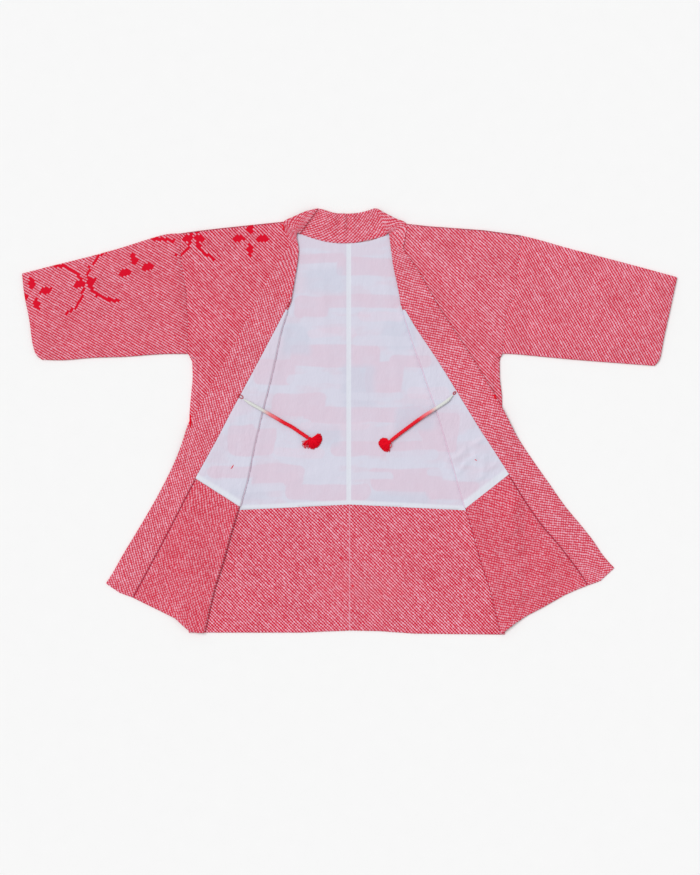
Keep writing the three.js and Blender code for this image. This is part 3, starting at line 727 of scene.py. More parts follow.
def back_cloth(side, rows, z, inset=0.0, pitch=PITCH, top_trim=0.0, bottom=None, dots=False,
               soft=None, start=GAP / 2):
    """A grid over part of the back, as wide as its outline less the inset. bottom(out) cuts it
    off below, and soft(out, up) raises it."""
    y = np.asarray(rows, float)[:, None]
    widest = max(o for _, o in side["outline"])
    x = np.union1d(steps(start, widest + pitch, pitch), [start + RIM, side["neck_out"]])
    x = x[None, :] + 0 * y
    by_gusset = max(inset, TURN_REACH + 2 * GAP) if inset else 0
    x = np.minimum(x, side_out(side, y) - np.where(y <= ARMPIT, by_gusset, inset))
    trim = np.where(x < side["neck_out"], 0, top_trim)
    y = np.clip(y, look_up(side["hem"], x), back_top(side, x) - trim)
    if bottom:
        y = np.maximum(y, bottom(x))
    height = z + (soft(x, y) if soft else 0 * x)
    place = placed(side, x, y, height)
    return place, place[..., :2].copy(), RELIEF * is_dot(x, y) if dots else None


# ---------------------------------------------------------------- the cloths


def body(side):
    hem_low = min(u for _, u in side["hem"])
    rows = np.r_[steps(hem_low, NECK_ROWS, 4 * PITCH)[:-1], steps(NECK_ROWS, CLOTH_TOP)]
    place, flat, relief = back_cloth(side, rows, BACK_MID)
    over = 2 * side["shoulder"][0][1]
    flat[..., 1] = over - flat[..., 1]
    sheet = Sheet().add(place, flat, relief)
    # the turn over the shoulder
    widest = side["shoulder"][-1][0]
    x = np.union1d(steps(0, widest), [side["neck_out"]])
    x = x[(x >= side["neck_out"]) & (x <= widest)]
    line = look_up(side["shoulder"], x) - TURN_REACH
    reach, height = turn(BACK_MID)
    reach, height = reach[:, None], height[:, None]
    z = height + front_soft(side, x, line) * smooth((height - BACK_MID) / (2 * TURN_RADIUS))
    place = placed(side, x + 0 * reach, line + reach, z)
    v = np.linspace(1, 0, TURN_STEPS + 1)[:, None] * (over - 2 * line) + line
    sheet.add(place, placed(side, x + 0 * v, v))
    rows = steps(side["bottom"], side["shoulder"][0][1] + PITCH)
    fold, _, reach = turn_at(side, rows)
    sheet.add(*front_cloth(side, rows, fold - reach, front_end(side, rows), dots="outside"))
    return wall(f"body_cloth_{side['name']}", sheet, CLOTH)


def back_facing(side):
    rows = steps(min(u for _, u in side["hem"]), FACING_TOP + PITCH)
    lift = BACK_MID + FACING_LIFT
    place, flat, relief = back_cloth(side, rows, lift, LINING_INSET, dots=True, start=0.0)
    out = np.abs(place[..., 0])
    end = FACING_TOP - FACING_DIP * out - GAP
    relief[place[..., 1] > end] = 0
    place[..., 1] = np.minimum(place[..., 1], end)
    flat[..., 1] = np.minimum(flat[..., 1], end)
    return wall(f"back_facing_cloth_{side['name']}", Sheet().add(place, flat, relief), CLOTH)


def lining_soft(side):
    """Gentle creases of the back's lining where it shows, and its swell beside the fold."""
    fold = [(row[0][1], row[0][0]) for row in side["folded"]]

    def rise(out, up):
        to_fold = look_up(fold, up) - out
        shown = smooth((to_fold - 4) / 22)
        level = smooth((up - FACING_TOP) / 12) * smooth((342 - up) / 14) * smooth(out / 8)
        lines = ridges(LINING_CREASES[side["name"]], out, up) + 0.5 * waves(out, up, 21)
        swell = 1.3 * smooth(1 - (to_fold - 3) / 18) * (to_fold > 3)
        swell *= smooth((side["crossing"] - up) / 30)
        return (np.clip(lines, 0, 1.3) * shown + swell) * level - 0.35 * (out < 0)

    return rise


def back_lining(side):
    rows = steps(FACING_TOP - 20, CLOTH_TOP, LINING_PITCH)
    grid = back_cloth(side, rows, BACK_MID + LINING_LIFT, LINING_INSET, LINING_PITCH, TURN_REACH,
                      lambda out: FACING_TOP - FACING_DIP * out, soft=lining_soft(side),
                      start=side["lining_start"])
    return wall(f"back_lining_cloth_{side['name']}", Sheet().add(*grid), LINING)


def front_lining(side):
    rows = steps(facing_level(side), 217, FRONT_LINING_PITCH)
    fold, _, reach = turn_at(side, rows)
    high = fold - 0.15 * BEND
    grid = front_cloth(side, rows, fold - reach, high, LINING_LIFT, FRONT_LINING_PITCH)
    return wall(f"front_lining_cloth_{side['name']}", Sheet().add(*grid), LINING)


def front_facing(side):
    rows = steps(side["bottom"], facing_level(side) - GAP)
    fold, _, reach = turn_at(side, rows)
    low = fold - reach + SEAM_SINK
    grid = front_cloth(side, rows, low, fold - BEND - GAP, FACING_LIFT, mirror=True, dots="inside")
    return wall(f"front_facing_cloth_{side['name']}", Sheet().add(*grid), CLOTH)


def tube(name, side, out, up, z, radius):
    form = rings(placed(side, out, up, z), radius, THREAD_SIDES)
    return make_mesh(f"{name}_{side['name']}", *form)


def collar_seam(side):
    """The thread of the seam between a front's facing and the collar, dark red as painted shadow
    for the seam's groove.
    """
    top = facing_level(side) + 3
    levels = np.linspace(side["bottom"] + 2, top, SEAM_STEPS)
    _, seam, _ = folded_at(side, levels)
    _, away, _ = turn_at(side, levels)
    out, up = (seam - SEAM_OFF * away).T
    z = support(side, out, up) + front_soft(side, out, up) + SEAM_HEIGHT
    radius = SEAM_THREAD * (0.5 + 0.5 * smooth((top - levels) / 40))
    return tube("collar_seam_painted_shadow_thread", side, out, up + hem_stray(side, out, levels), z, radius)


def fold_roll(name, side, low, high, beyond, drop):
    """A roll along the fold of a folded front between two heights of its fold: the lining's rolled
    edge, or a dark roll of painted shadow at the facing's fold.
    """
    levels = np.linspace(low, high, ROLL_STEPS)
    fold, away, _ = turn_at(side, levels)
    across = unit(away + [1, 0])
    out, up = (np.stack([fold, levels], -1) - (FOLD_RADIUS + beyond) * across).T
    z = FRONT_MID + FOLD_RADIUS - drop + front_soft(side, out, up)
    radius = FOLD_ROLL * (0.9 + 0.1 * np.sin(levels / 17) * np.cos(levels / 29))
    return tube(name, side, out, up, z, radius)


def gusset(side):
    """A wedge that begins beside the front, and turns down to the back at its outer edge."""
    rows = steps(side["bottom"], ARMPIT - 2 * GAP)
    fold, _, _ = turn_at(side, rows)
    axis = side_out(side, rows) - TURN_REACH
    start = front_end(side, rows) + GAP
    start = np.minimum(np.where(start < fold + BEND, start + 5 * GAP, start), axis)
    sheet = Sheet().add(*front_cloth(side, rows, start, axis, dots="outside"))
    reach, drop = turn(0)
    out = axis[:, None] + reach
    soft = front_soft(side, axis, rows)[:, None] * (1 - drop / (2 * TURN_RADIUS))
    z = FRONT_MID - drop + soft
    run = axis[:, None] + TURN_RADIUS * np.linspace(0, math.pi, TURN_STEPS + 1)
    up = rows[:, None] + 0 * out
    sheet.add(placed(side, out, up, z), placed(side, run, up))
    return wall(f"gusset_cloth_{side['name']}", sheet, CLOTH)


def collar_sections(side):
    """From the hem to the neck: inner and free edge where it lies on the front; the same and
    the height of each edge from there on; and the levels of the first."""
    levels = steps(side["bottom"], side["crossing"])
    _, seam, edge = folded_at(side, levels)
    last = [(support(side, *p.T) + front_soft(side, *p.T))[-1] for p in (seam, edge)]
    on_front = np.column_stack([seam, edge])
    neck = [(*inner, *free, low, high) for inner, free, low, high in side["collar"]]
    return on_front[:-1], np.array([(*on_front[-1], *last), *neck]), levels[:-1, None]


def puckers(x, f):
    """Small upright folds in the back of the neck, deepest at the free edge."""
    total = np.zeros(x.shape)
    for at_x, width, height in PUCKERS:
        total += height * np.exp(-(((x - at_x) / width) ** 2))
    return total * smooth(f * 1.6 - 0.15)


def collar():
    """The collar, from the right front's hem round the neck to the left front's hem."""
    f = np.linspace(0, 1, COLLAR_STEPS)
    halves = []
    for side in SIDES:
        on_front, neck, levels = collar_sections(side)
        line = through(neck[:, :4], 12)[1]
        t = np.linspace(0, len(neck) - 1, len(line))
        low, high = (np.interp(t, np.arange(len(neck)), neck[:, k])[:, None] for k in (4, 5))
        ends = np.vstack([on_front, line])
        inner, free = ends[:, None, :2], ends[:, None, 2:]
        place = inner + (free - inner) * f[:, None]
        out, up = place[..., 0], place[..., 1]
        z = support(side, out, up) + front_soft(side, out, up)
        fade = smooth(np.linspace(0, 1, len(line)) * 5)[:, None]
        count = len(on_front)
        z[count:] = (1 - fade) * z[count:] + fade * (low + (high - low) * f)
        z += side["lip"] * f**2 * smooth(up / 40) * smooth((370 - up) / 30)
        up[:count] += hem_stray(side, out[:count], levels)
        halves.append(placed(side, out, up, z + COLLAR / 2))
    share = np.linspace(0, 1, COLLAR_JOINT)[1:-1, None, None]
    centre = (1 - share) * halves[0][-1:] + share * halves[1][-1:]
    grid = np.concatenate([halves[0], centre, halves[1][::-1]])
    x, y, z = np.moveaxis(grid, -1, 0)
    z += puckers(x, f) * (y > NECK_UP)
    z += ridges(COLLAR_CREASES, x, y)
    z[:] = np.maximum(z, COLLAR / 2 + 0.1)
    along = run_along(grid[:, len(f) // 2])
    width = np.linalg.norm(grid[:, -1] - grid[:, 0], axis=1)[:, None]
    across = COLLAR_WIDTH - width * (1 - f)
    flat = np.stack([-across, along[:, None] + 0 * across], -1)
    return wall("collar_cloth", Sheet().add(grid, flat), COLLAR)


def sleeve(side):
    """A closed ring of cloth at each step along: a turn at the top, the layer above, a turn
    at the bottom and the layer below."""
    edges = (side[key] for key in ("sleeve_top", "sleeve_bottom", "cuff"))
    top, bottom, cuff = (by_length(through(points)) for points in edges)
    high, low = side["sleeve_top"][0][1], side["sleeve_bottom"][0][1]

    def patch(a, d):
        """The place at a share a of the way to the cuff and d of the way down."""
        armhole_up = high + (low - high) * d
        armhole = np.stack([side_out(side, armhole_up) - ARMHOLE_IN, armhole_up], -1)
        t, b, c = at(top, a), at(bottom, a), at(cuff, d)
        a, d = a[..., None], d[..., None]
        corners = (
            (1 - a) * (1 - d) * at(top, 0) + a * (1 - d) * at(cuff, 0)
            + (1 - a) * d * at(bottom, 0) + a * d * at(cuff, 1)
        )
        return (1 - d) * t + d * b + (1 - a) * armhole + a * c - corners

    a = np.linspace(0, 1, SLEEVE_ALONG)[:, None]
    width = np.linalg.norm(patch(a, 0 * a) - patch(a, 0 * a + 1), axis=-1)
    above, below = np.linspace(0, 1, SLEEVE_OVER)[1:-1], np.linspace(1, 0, SLEEVE_UNDER)[1:-1]
    reach, height = turn(BACK_MID)
    first = (TURN_REACH - reach) / width
    down = np.clip(np.hstack([
        first, np.maximum(above, TURN_REACH / width), 1 - first[:, ::-1],
        below + 0 * width, first[:, :1],
    ]), 0, 1)
    z = [height, FRONT_MID + 0 * above, height[::-1], BACK_MID + 0 * below, height[:1]]
    z = np.hstack(z) + 0 * width
    a = a + 0 * down
    point = patch(a, down)
    edge = np.minimum(np.minimum(down, 1 - down) * width, 6 + SLEEVE_LENGTH * (1 - a))
    rise = sleeve_soft(side, point[..., 0], point[..., 1], edge)
    rise = rise * smooth(a * SLEEVE_LENGTH / 20 + 0.25)
    z = z + rise * smooth((z - BACK_MID) / (2 * TURN_RADIUS))
    place = placed(side, point[..., 0], point[..., 1], z)
    # the grain follows the sleeve's fold
    start, end = at(top, 0), at(top, 1)
    grain = (end - start) / np.linalg.norm(end - start)
    local = point - start
    v = local @ np.array([-grain[1], grain[0]])
    ahead = np.arange(down.shape[1]) > SLEEVE_OVER + TURN_STEPS
    v = np.where(ahead, -v - 2 * width, v)
    flat = placed(side, local @ grain, v)
    return wall(f"sleeve_cloth_{side['name']}", Sheet().add(place, flat), CLOTH)


# ---------------------------------------------------------------- materials


def srgb(*levels):
    """A colour given as it looks on screen, 0 to 255, in Blender's linear light."""
    shares = [level / 255 for level in levels]
    return (*(v / 12.92 if v <= 0.04045 else ((v + 0.055) / 1.055) ** 2.4 for v in shares), 1)


class Value:
    """An output of a node. Its operators add the nodes that work them out."""

    def __init__(self, nodes, socket):
        self.nodes, self.socket = nodes, socket

    def combine(self, operation, *values):
        kind = self.nodes.math if self.socket.type == "VALUE" else self.nodes.vector
        return kind(operation, *values)

    def __add__(self, other):
        return self.combine("ADD", self, other)

    def __radd__(self, other):
        return self.combine("ADD", other, self)

    def __sub__(self, other):
        return self.combine("SUBTRACT", self, other)

    def __rsub__(self, other):
        return self.combine("SUBTRACT", other, self)

    def __mul__(self, other):
        return self.combine("MULTIPLY", self, other)

    def __truediv__(self, other):
        return self.combine("DIVIDE", self, other)

    def __abs__(self):
        return self.combine("ABSOLUTE", self)


class Nodes:
    """A short way to write a material's nodes."""

    def __init__(self, name):
        self.material = bpy.data.materials.new(name)
        self.material.use_nodes = True
        self.tree = self.material.node_tree
        self.shader = self.tree.nodes["Principled BSDF"]

    def node(self, kind, inputs=(), *outputs, **settings):
        """The given outputs of a new node, or its first."""
        node = self.tree.nodes.new(kind)
        for key, value in settings.items():
            setattr(node, key, value)
        for key, value in dict(inputs).items():
            self.set(node.inputs[key], value)
        values = [Value(self, node.outputs[key]) for key in outputs or (0,)]
        return values if len(values) > 1 else values[0]

    def set(self, socket, value):
        if isinstance(value, Value):
            self.tree.links.new(value.socket, socket)
        elif value is not None:
            socket.default_value = value

    def math(self, operation, *values, clamp=False):
        return self.node("ShaderNodeMath", enumerate(values), operation=operation, use_clamp=clamp)

    def vector(self, operation, *values):
        output = "Value" if operation in ("LENGTH", "DOT_PRODUCT") else "Vector"
        return self.node("ShaderNodeVectorMath", enumerate(values), output, operation=operation)

    def mix(self, share, low, high):
        return self.node("ShaderNodeMix", {0: share, 6: low, 7: high}, 2, data_type="RGBA")

    def ramp(self, value, low, high):
        """0 below low, 1 above high, and smooth between."""
        inputs = {"Value": value, "From Min": low, "From Max": high}
        return self.node("ShaderNodeMapRange", inputs, "Result", interpolation_type="SMOOTHSTEP")

    def noise(self, vector, scale, detail=2.0, roughness=0.5):
        inputs = {"Vector": vector, "Scale": scale, "Detail": detail, "Roughness": roughness}
        return self.node("ShaderNodeTexNoise", inputs)

    def stretched(self, vector, scale):
        return self.node("ShaderNodeMapping", {"Vector": vector, "Scale": scale})

    def where(self):
        """The place in the object, in metres."""
        return self.node("ShaderNodeTexCoord", (), "Object")

    def flat(self):
        """The place in the flat cut, in metres, and its two coordinates."""
        uv = self.node("ShaderNodeUVMap", uv_map="flat")
        return uv, *self.node("ShaderNodeSeparateXYZ", {"Vector": uv}, "X", "Y")

    def bump(self, height, distance, strength=1.0, normal=None):
        inputs = {"Height": height, "Distance": distance, "Strength": strength, "Normal": normal}
        return self.node("ShaderNodeBump", inputs, "Normal")

    def finish(self, colour, normal, roughness, sheen=0.0, specular=0.5):
        inputs = {"Base Color": colour, "Normal": normal, "Roughness": roughness,
                  "Sheen Weight": sheen, "Specular IOR Level": specular}
        for key, value in inputs.items():
            self.set(self.shader.inputs[key], value)
        return self.material


DYE, DYE_DEEP, SOLID_RED = srgb(216, 24, 58), srgb(194, 12, 46), srgb(214, 0, 38)
TIED = srgb(243, 187, 205)

# A dot, in shares of its cell: its radius and how much that differs, where its edge begins and
# ends, the dark eye at its centre and how dark that is.
DOT_SIZE, DOT_DIFFERS, DOT_EDGE = 0.39, 0.14, (-0.07, 0.10)
EYE_EDGE, EYE_DARK = (0.10, 0.02), 0.75

# The figures left untied: four-stemmed flowers and rings of lozenges take turns along the
# cloth. Places are in millimetres of the flat cut.
LOZENGE = (13.4, 7.0)
LOZENGE_OFF = (23.0, 21.0)
LOBE_OUT, LOBE = 11.5, (11.5, 8.2)
STEM = [(6, 8), (15.4, 27.2), (32.4, 41.4), (53, 49)]
SHORT_STEM = [(6, 8), (14.8, 24), (27, 33), (39, 38)]
STEM_HALF, STEM_THIN = 3.1, 2.0
BODY_FIGURES = [("bud", -302.3, 356.2), ("ring", -192.3, 355.4)]
SLEEVE_FIGURES = [("three", -100.2, -48), ("flower", -202.5, -48), ("ring", -303.9, -44)]
SLEEVE_STEMS = [
    ([(-54, 3), (-32, -4), (-17, -12)], 3.2),
    ([(-20, -36), (-12, -43), (-4, -56)], 2.0),
]


def lozenge(n, point, centre, half):
    """Above 0 inside a lozenge."""
    off = (point - (*centre, 0)) * (1 / half[0], 1 / half[1], 0)
    return 1.0 - n.vector("DOT_PRODUCT", abs(off), (0.5, 0.5, 0)) - n.vector("LENGTH", off) * 0.5


def stem(n, off, points, width):
    """Above 0 within the width of a line through points."""
    value = None
    for (x, y), (x_2, y_2) in zip(points, points[1:]):
        dx, dy = x_2 - x, y_2 - y
        size = dx * dx + dy * dy
        start = off - (x, y, 0)
        share = n.vector("DOT_PRODUCT", start, (dx / size, dy / size, 0))
        share = n.math("MULTIPLY", share, 1.0, clamp=True)
        along = n.node("ShaderNodeVectorMath", {0: (dx, dy, 0), "Scale": share}, operation="SCALE")
        inside = width - n.vector("LENGTH", start - along)
        value = inside if value is None else n.math("MAXIMUM", value, inside)
    return value


def flower(n, point, centre, points):
    """Above 0 inside four stems and two lobes; the falling stems are the wider ones."""
    off = point - (*centre, 0)
    x, y = n.node("ShaderNodeSeparateXYZ", {"Vector": off}, "X", "Y")
    width = STEM_THIN + n.math("LESS_THAN", x * y, 0.0) * (STEM_HALF - STEM_THIN)
    off = abs(off)
    lobe = lozenge(n, off, (LOBE_OUT, 0), LOBE)
    return n.math("MAXIMUM", lobe, stem(n, off, points, width))


def figures(n, point, table, stems):
    """1 where the cloth was left untied."""
    forms = []
    for kind, x, y in table:
        if kind in ("flower", "bud"):
            forms.append(flower(n, point, (x, y), STEM if kind == "flower" else SHORT_STEM))
            continue
        dx, dy = LOZENGE_OFF
        forms += [lozenge(n, point, (x + off, y), LOZENGE) for off in (-dx, dx)]
        ends = (dy, -dy) if kind == "ring" else (dy,)
        forms += [lozenge(n, point, (x, y + off), LOZENGE[::-1]) for off in ends]
    value = -1.0
    for form in forms + [stem(n, point, points, width) for points, width in stems]:
        value = n.math("MAXIMUM", value, form)
    return n.math("GREATER_THAN", value, 0.0)


def shibori_material(name, table=(), stems=(), disorder=0.08, veil=0.0, apart=0.70,
                     strength=1.0, streaks=0.30, seam=False):
    """Silk with rows of tied dots. Disorder, from 0 to 1, is how far the dots stray from
    their rows; veil is how pale the cloth between the dots is; apart is how clearly the dots
    of a row are parted, strength how pale they are, and streaks how much whole rows differ.
    A seam is a pale line up the middle."""
    n = Nodes(name)
    uv, u, v = n.flat()
    # the lattice, which wavers slowly
    stray, waver = 0.5 + disorder, 38.0 + 110 * disorder
    side = DOT * math.sqrt(2) * MM
    a = (u + v) / side + (n.noise(uv, waver) - 0.5) * stray
    b = (u - v) / side + (n.noise(uv + (3.1, 1.7, 0), waver) - 0.5) * stray
    cell_a, cell_b = n.math("ROUND", a), n.math("ROUND", b)
    cell = n.node("ShaderNodeCombineXYZ", {"X": cell_a, "Y": cell_b})
    chance = n.node("ShaderNodeTexWhiteNoise", {"Vector": cell}, "Color", noise_dimensions="2D")
    shifted, sized, toned = n.node("ShaderNodeSeparateColor", {"Color": chance}, 0, 1, 2)
    # dots reach further along their rows than across them
    shift = (shifted - 0.5) * (0.16 + 0.3 * disorder)
    across = (a - cell_a) * (1.44 - 0.16 * apart - 0.15 * disorder) + shift
    along = (b - cell_b) * (apart + 0.12 * disorder) + shift * (1.5 * disorder)
    far = n.math("SQRT", n.math("POWER", across, 2.0) + n.math("POWER", along, 2.0))
    size = DOT_SIZE + (sized - 0.5) * (DOT_DIFFERS + 0.1 * disorder)
    dot = n.ramp(size - far, *DOT_EDGE) * (1.0 - n.ramp(far, *EYE_EDGE) * EYE_DARK)
    # how pale: by dot, by patch and by row
    patchy = n.noise(uv, 16.0, 3.0, 0.6)
    row = n.node("ShaderNodeTexWhiteNoise", {"W": cell_a}, "Value", noise_dimensions="1D")
    white = dot * (0.60 + toned * 0.34) * (0.78 + patchy * 0.44)
    white = white * (1 - streaks / 2 + row * streaks)
    white = n.math("ADD", white * strength, veil, clamp=True)
    if seam:
        line = n.ramp(abs(u / MM), 2.0, 0.8)
        white = n.math("ADD", white, line * 0.28, clamp=True)
    red = n.mix(patchy, DYE_DEEP, DYE)
    height = n.math("SUBTRACT", 1.0, far * 1.6, clamp=True)
    if table:
        half = side / MM / 2
        centre = {"X": (cell_a + cell_b) * half, "Y": (cell_a - cell_b) * half}
        solid = figures(n, n.node("ShaderNodeCombineXYZ", centre), table, stems)
        tied = 1.0 - solid
        white = white * tied
        red = n.mix(solid, red, SOLID_RED)
        height = height * (0.2 + tied * 0.8)
    normal = n.bump(n.noise(uv, 1500.0, 2.0, 0.6), 0.0002, 0.35)
    normal = n.bump(height, 0.0011, 0.75, normal)
    return n.finish(n.mix(white, red, TIED), normal, 0.56 + (1.0 - dot) * 0.16, specular=0.1)


# Mist bands in the lining's weave: centre, half length, half height, in millimetres.
PINK_MIST = [
    (-60, 318, 38, 9), (48, 300, 60, 18), (20, 236, 70, 12), (-72, 224, 20, 22),
    (-30, 128, 74, 22), (-150, 96, 30, 24), (66, 84, 22, 34), (118, 118, 34, 12),
    (30, 14, 104, 16), (-96, 34, 40, 22), (-190, -34, 34, 30), (60, -52, 84, 14),
    (176, -20, 26, 40), (-140, -104, 40, 22), (110, -112, 60, 22), (-44, -136, 70, 16),
    (200, -130, 40, 18), (-226, -96, 36, 12),
]
PALE_MIST = [
    (-20, 196, 60, 9), (64, 158, 50, 10), (-62, 82, 52, 9), (36, 50, 60, 7),
    (-128, -4, 44, 10), (120, -66, 40, 11), (-70, -74, 60, 8), (30, -104, 50, 7),
    (-170, -128, 34, 8), (70, 254, 26, 6), (182, -98, 26, 7),
]
GREY_MIST = [
    (-46, 276, 26, 22), (96, 170, 20, 28), (-104, 160, 16, 30), (16, 70, 22, 40),
    (126, 6, 26, 24), (-60, -26, 34, 20), (96, -150, 46, 14), (-200, -140, 30, 12),
]
HATCHED_MIST = [
    (-34, 172, 36, 9), (62, 206, 34, 10), (-30, -8, 60, 8), (150, 56, 30, 12), (-96, -60, 40, 9),
]
MIST_EDGE, GREY_MIST_EDGE, MIST_CORNER = 2.2, 8.0, 12
LINING_PALE, LINING_GREY = srgb(207, 206, 222), srgb(196, 199, 216)
LINING_PINK, LINING_PINK_FAINT = srgb(212, 191, 208), srgb(209, 200, 216)
LINING_HATCH, LINING_EDGE = srgb(224, 196, 212), srgb(219, 223, 232)
LINING_THREAD = srgb(232, 234, 242)
PLEAT_AT, PLEAT_HALF = -1.7, 4.6


def mist(n, where, table, edge=MIST_EDGE):
    """1 inside any of the rounded bands of a table."""
    total = None
    for x, y, half, radius in table:
        corner = min(radius, MIST_CORNER)
        off = abs(where - (x, y, 0)) - (half, radius - corner, 0)
        off = n.vector("MAXIMUM", off, (0, 0, 0))
        inside = n.ramp(corner - n.vector("LENGTH", off), -edge, edge)
        total = inside if total is None else n.math("MAXIMUM", total, inside)
    return total


def lining_material(name, end, edge, crumpled, pleat=False):
    """Silk with bands of mist. Its lower edge, at the height end in the flat cut, is folded
    back over the distance edge, and shows paler there; so does a pleat on the centre seam, with a
    faint grey of painted shade either side of it. crumpled is how deep its fine creases are."""
    n = Nodes(name)
    _, u, v = n.flat()
    where = n.where()
    slow = n.node("ShaderNodeTexNoise", {"Vector": where, "Scale": 13.0, "Detail": 1.0}, "Color")
    place_at = where * (1 / MM, 1 / MM, 0) + (slow - (0.5, 0.5, 0.5)) * (34, 15, 0)
    faint = n.noise(where * (1.0, 2.4, 1.0), 8.0, 3.0, 0.6)
    strong = 0.45 + n.noise(where, 24.0, 2.0, 0.5) * 0.6
    weave = n.node("ShaderNodeTexWave", {"Vector": where, "Scale": 190.0, "Distortion": 0.4},
                   "Fac", bands_direction="DIAGONAL")
    hatched = n.ramp(weave, 0.35, 0.65) * 0.5
    colour = n.mix(n.ramp(faint, 0.44, 0.56), LINING_PALE, LINING_PINK_FAINT)
    for table, soft_edge, share, shade in (
        (PINK_MIST, MIST_EDGE, strong, LINING_PINK),
        (GREY_MIST, GREY_MIST_EDGE, 0.6, LINING_GREY),
        (PALE_MIST, MIST_EDGE, strong, LINING_PALE),
        (HATCHED_MIST, MIST_EDGE, hatched, LINING_HATCH),
    ):
        colour = n.mix(mist(n, place_at, table, soft_edge) * share, colour, shade)
    thread = n.noise(n.stretched(where, (900.0, 70.0, 1.0)), 1.0, 2.0, 0.5)
    colour = n.mix(thread * 0.16, colour, LINING_THREAD)
    above = v / MM - end
    if pleat:
        above = above + abs(u) * (FACING_DIP / MM)
        across = abs(u / MM - PLEAT_AT)
        # painted shade: a faint grey either side of the pleat
        shade = n.ramp(across, PLEAT_HALF + 5, PLEAT_HALF)
        pale = n.ramp(across, PLEAT_HALF + 0.8, PLEAT_HALF - 0.8)
        colour = n.mix(pale * 0.8, n.mix(shade * 0.15, colour, LINING_GREY), LINING_EDGE)
    folded = n.ramp(above, edge * 1.25, edge * 0.7)
    colour = n.mix(folded * 0.85, colour, LINING_EDGE)
    ripples = n.noise(where, 60.0, 3.0, 0.55)
    creases = n.noise(where * (1.0, 0.45, 1.0), 34.0, 4.0, 0.65)
    normal = n.bump(thread, 0.0001, 0.25)
    normal = n.bump(ripples, 0.0016, 0.30, normal)
    normal = n.bump(creases, 0.004 * crumpled, 0.30, normal)
    return n.finish(colour, normal, 0.36 + ripples * 0.2, sheen=0.1, specular=0.3)


def cord_material(name, dye):
    """Pale braid that turns pink and then red between two shares of its length."""
    n = Nodes(name)
    uv, _, v = n.flat()
    streak = n.noise(n.stretched(uv, (1.0, 0.12, 1.0)), 900.0)
    share = v + (streak - 0.5) * 0.006
    pale = n.mix(streak, srgb(204, 206, 204), srgb(226, 228, 222))
    red = n.mix(streak, srgb(204, 2, 30), srgb(246, 16, 40))
    low, high = dye
    middle = (low + high) / 2
    colour = n.mix(n.ramp(share, low, middle), pale, srgb(238, 116, 124))
    colour = n.mix(n.ramp(share, middle - 0.01, high), colour, red)
    return n.finish(colour, n.bump(streak, 0.0003, 0.5), 0.6, sheen=0.03, specular=0.2)


def mottled_material(name, low, high, scale=1400.0, detail=2.0, relief=(0.0002, 0.5), specular=0.1):
    """Thread or plain silk, of a colour that varies between two."""
    n = Nodes(name)
    grain = n.noise(n.where(), scale, detail, 0.6)
    return n.finish(n.mix(grain, low, high), n.bump(grain, *relief), 0.6, specular=specular)


SHIBORI = shibori_material("shibori", veil=0.03, strength=0.88)
SHIBORI_BODY = shibori_material("shibori_body_figures", BODY_FIGURES, strength=0.88)
SHIBORI_SLEEVE = shibori_material(
    "shibori_sleeve_figures", SLEEVE_FIGURES, SLEEVE_STEMS, veil=0.03, strength=0.80)
SHIBORI_HEM = shibori_material(
    "shibori_back_facings", disorder=0.06, apart=0.84, strength=1.06, streaks=0.14, seam=True)
SHIBORI_COLLAR = shibori_material(
    "shibori_collar", disorder=0.24, veil=0.07, apart=0.86, strength=0.90, streaks=0.12)
SHIBORI_FACING = shibori_material(
    "shibori_front_facings", disorder=0.36, veil=0.06, apart=0.86, strength=0.70, streaks=0.12)
BACK_SILK = lining_material("lining_back", FACING_TOP, 9, 1.0, pleat=True)
FRONT_SILK = lining_material("lining_fronts", facing_level(LEFT), 15, 2.2)
THREAD = mottled_material("red_thread", srgb(214, 0, 28), srgb(250, 2, 38))
# The lining's rolled edge at the fold, in a silk paler than the lining to make up for the fold's
# shade: painted light.
PAINTED_LIGHT_ROLL_SILK = mottled_material(
    "lining_roll_painted_light", srgb(222, 190, 212), srgb(240, 218, 230), 40.0, 3.0, (0.0004, 0.3), 0.2)
# A dark red of painted shadow, for the collar seam's thread and the roll at a facing's fold.
PAINTED_SHADOW_RED = mottled_material("seam_painted_shadow_thread", srgb(160, 32, 60), srgb(202, 54, 84))
LOOP_THREAD = mottled_material("loop_thread", srgb(168, 12, 32), srgb(204, 34, 54))

# ---------------------------------------------------------------- finishing the pieces


def finish_piece(piece, material, node=None):
    """Give a piece its material and body, and hide the node of the model that it replaces."""
    piece.data.materials.append(material)
    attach(piece, "root")
    if node:
        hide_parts(node)
    return piece


def declare(piece, rests_on=()):
    """Take the size of its flat cut off a piece; nothing is kept."""
    width, length, area = piece["cut"]
    del piece["cut"]
    area = min(area, width * length)
    list(rests_on)


# ---------------------------------------------------------------- cords and tassels


def place(side, point):
    """One point of a side's tables as a place of the frame."""
    return np.array([side["sign"] * point[0], point[1], point[2]], float)


def braid(along, around):
    """The share by which the strands of the braid swell it."""
    left, right = (np.cos(4 * around + turn_by * along * 1.15) for turn_by in (1, -1))
    return 0.085 * np.maximum(left, right) - 0.03


def cord(side):
    route = by_length(through([place(side, p) for p in side["cord"]]))
    length = run_along(route[1])[-1]
    share = np.linspace(0, 1, CORD_STEPS)
    path = at(route, share)
    radius = CORD_RADIUS - 0.05 + 0.35 * smooth((share - 0.3) / 0.3)
    radius = radius * (0.42 + 0.58 * smooth(share / 0.10))
    v, t, uv = rings(path, radius, 40, wobble=braid)
    uv[:, 1] /= length * MM  # so that the coordinate is the share of the cord's length
    piece = make_mesh(f"himo_braid_{side['name']}", v, t, uv)
    material = cord_material(f"cord_{side['name']}", side["dye"])
    return finish_piece(piece, material, f"himo_{side['name']}"), path * MM


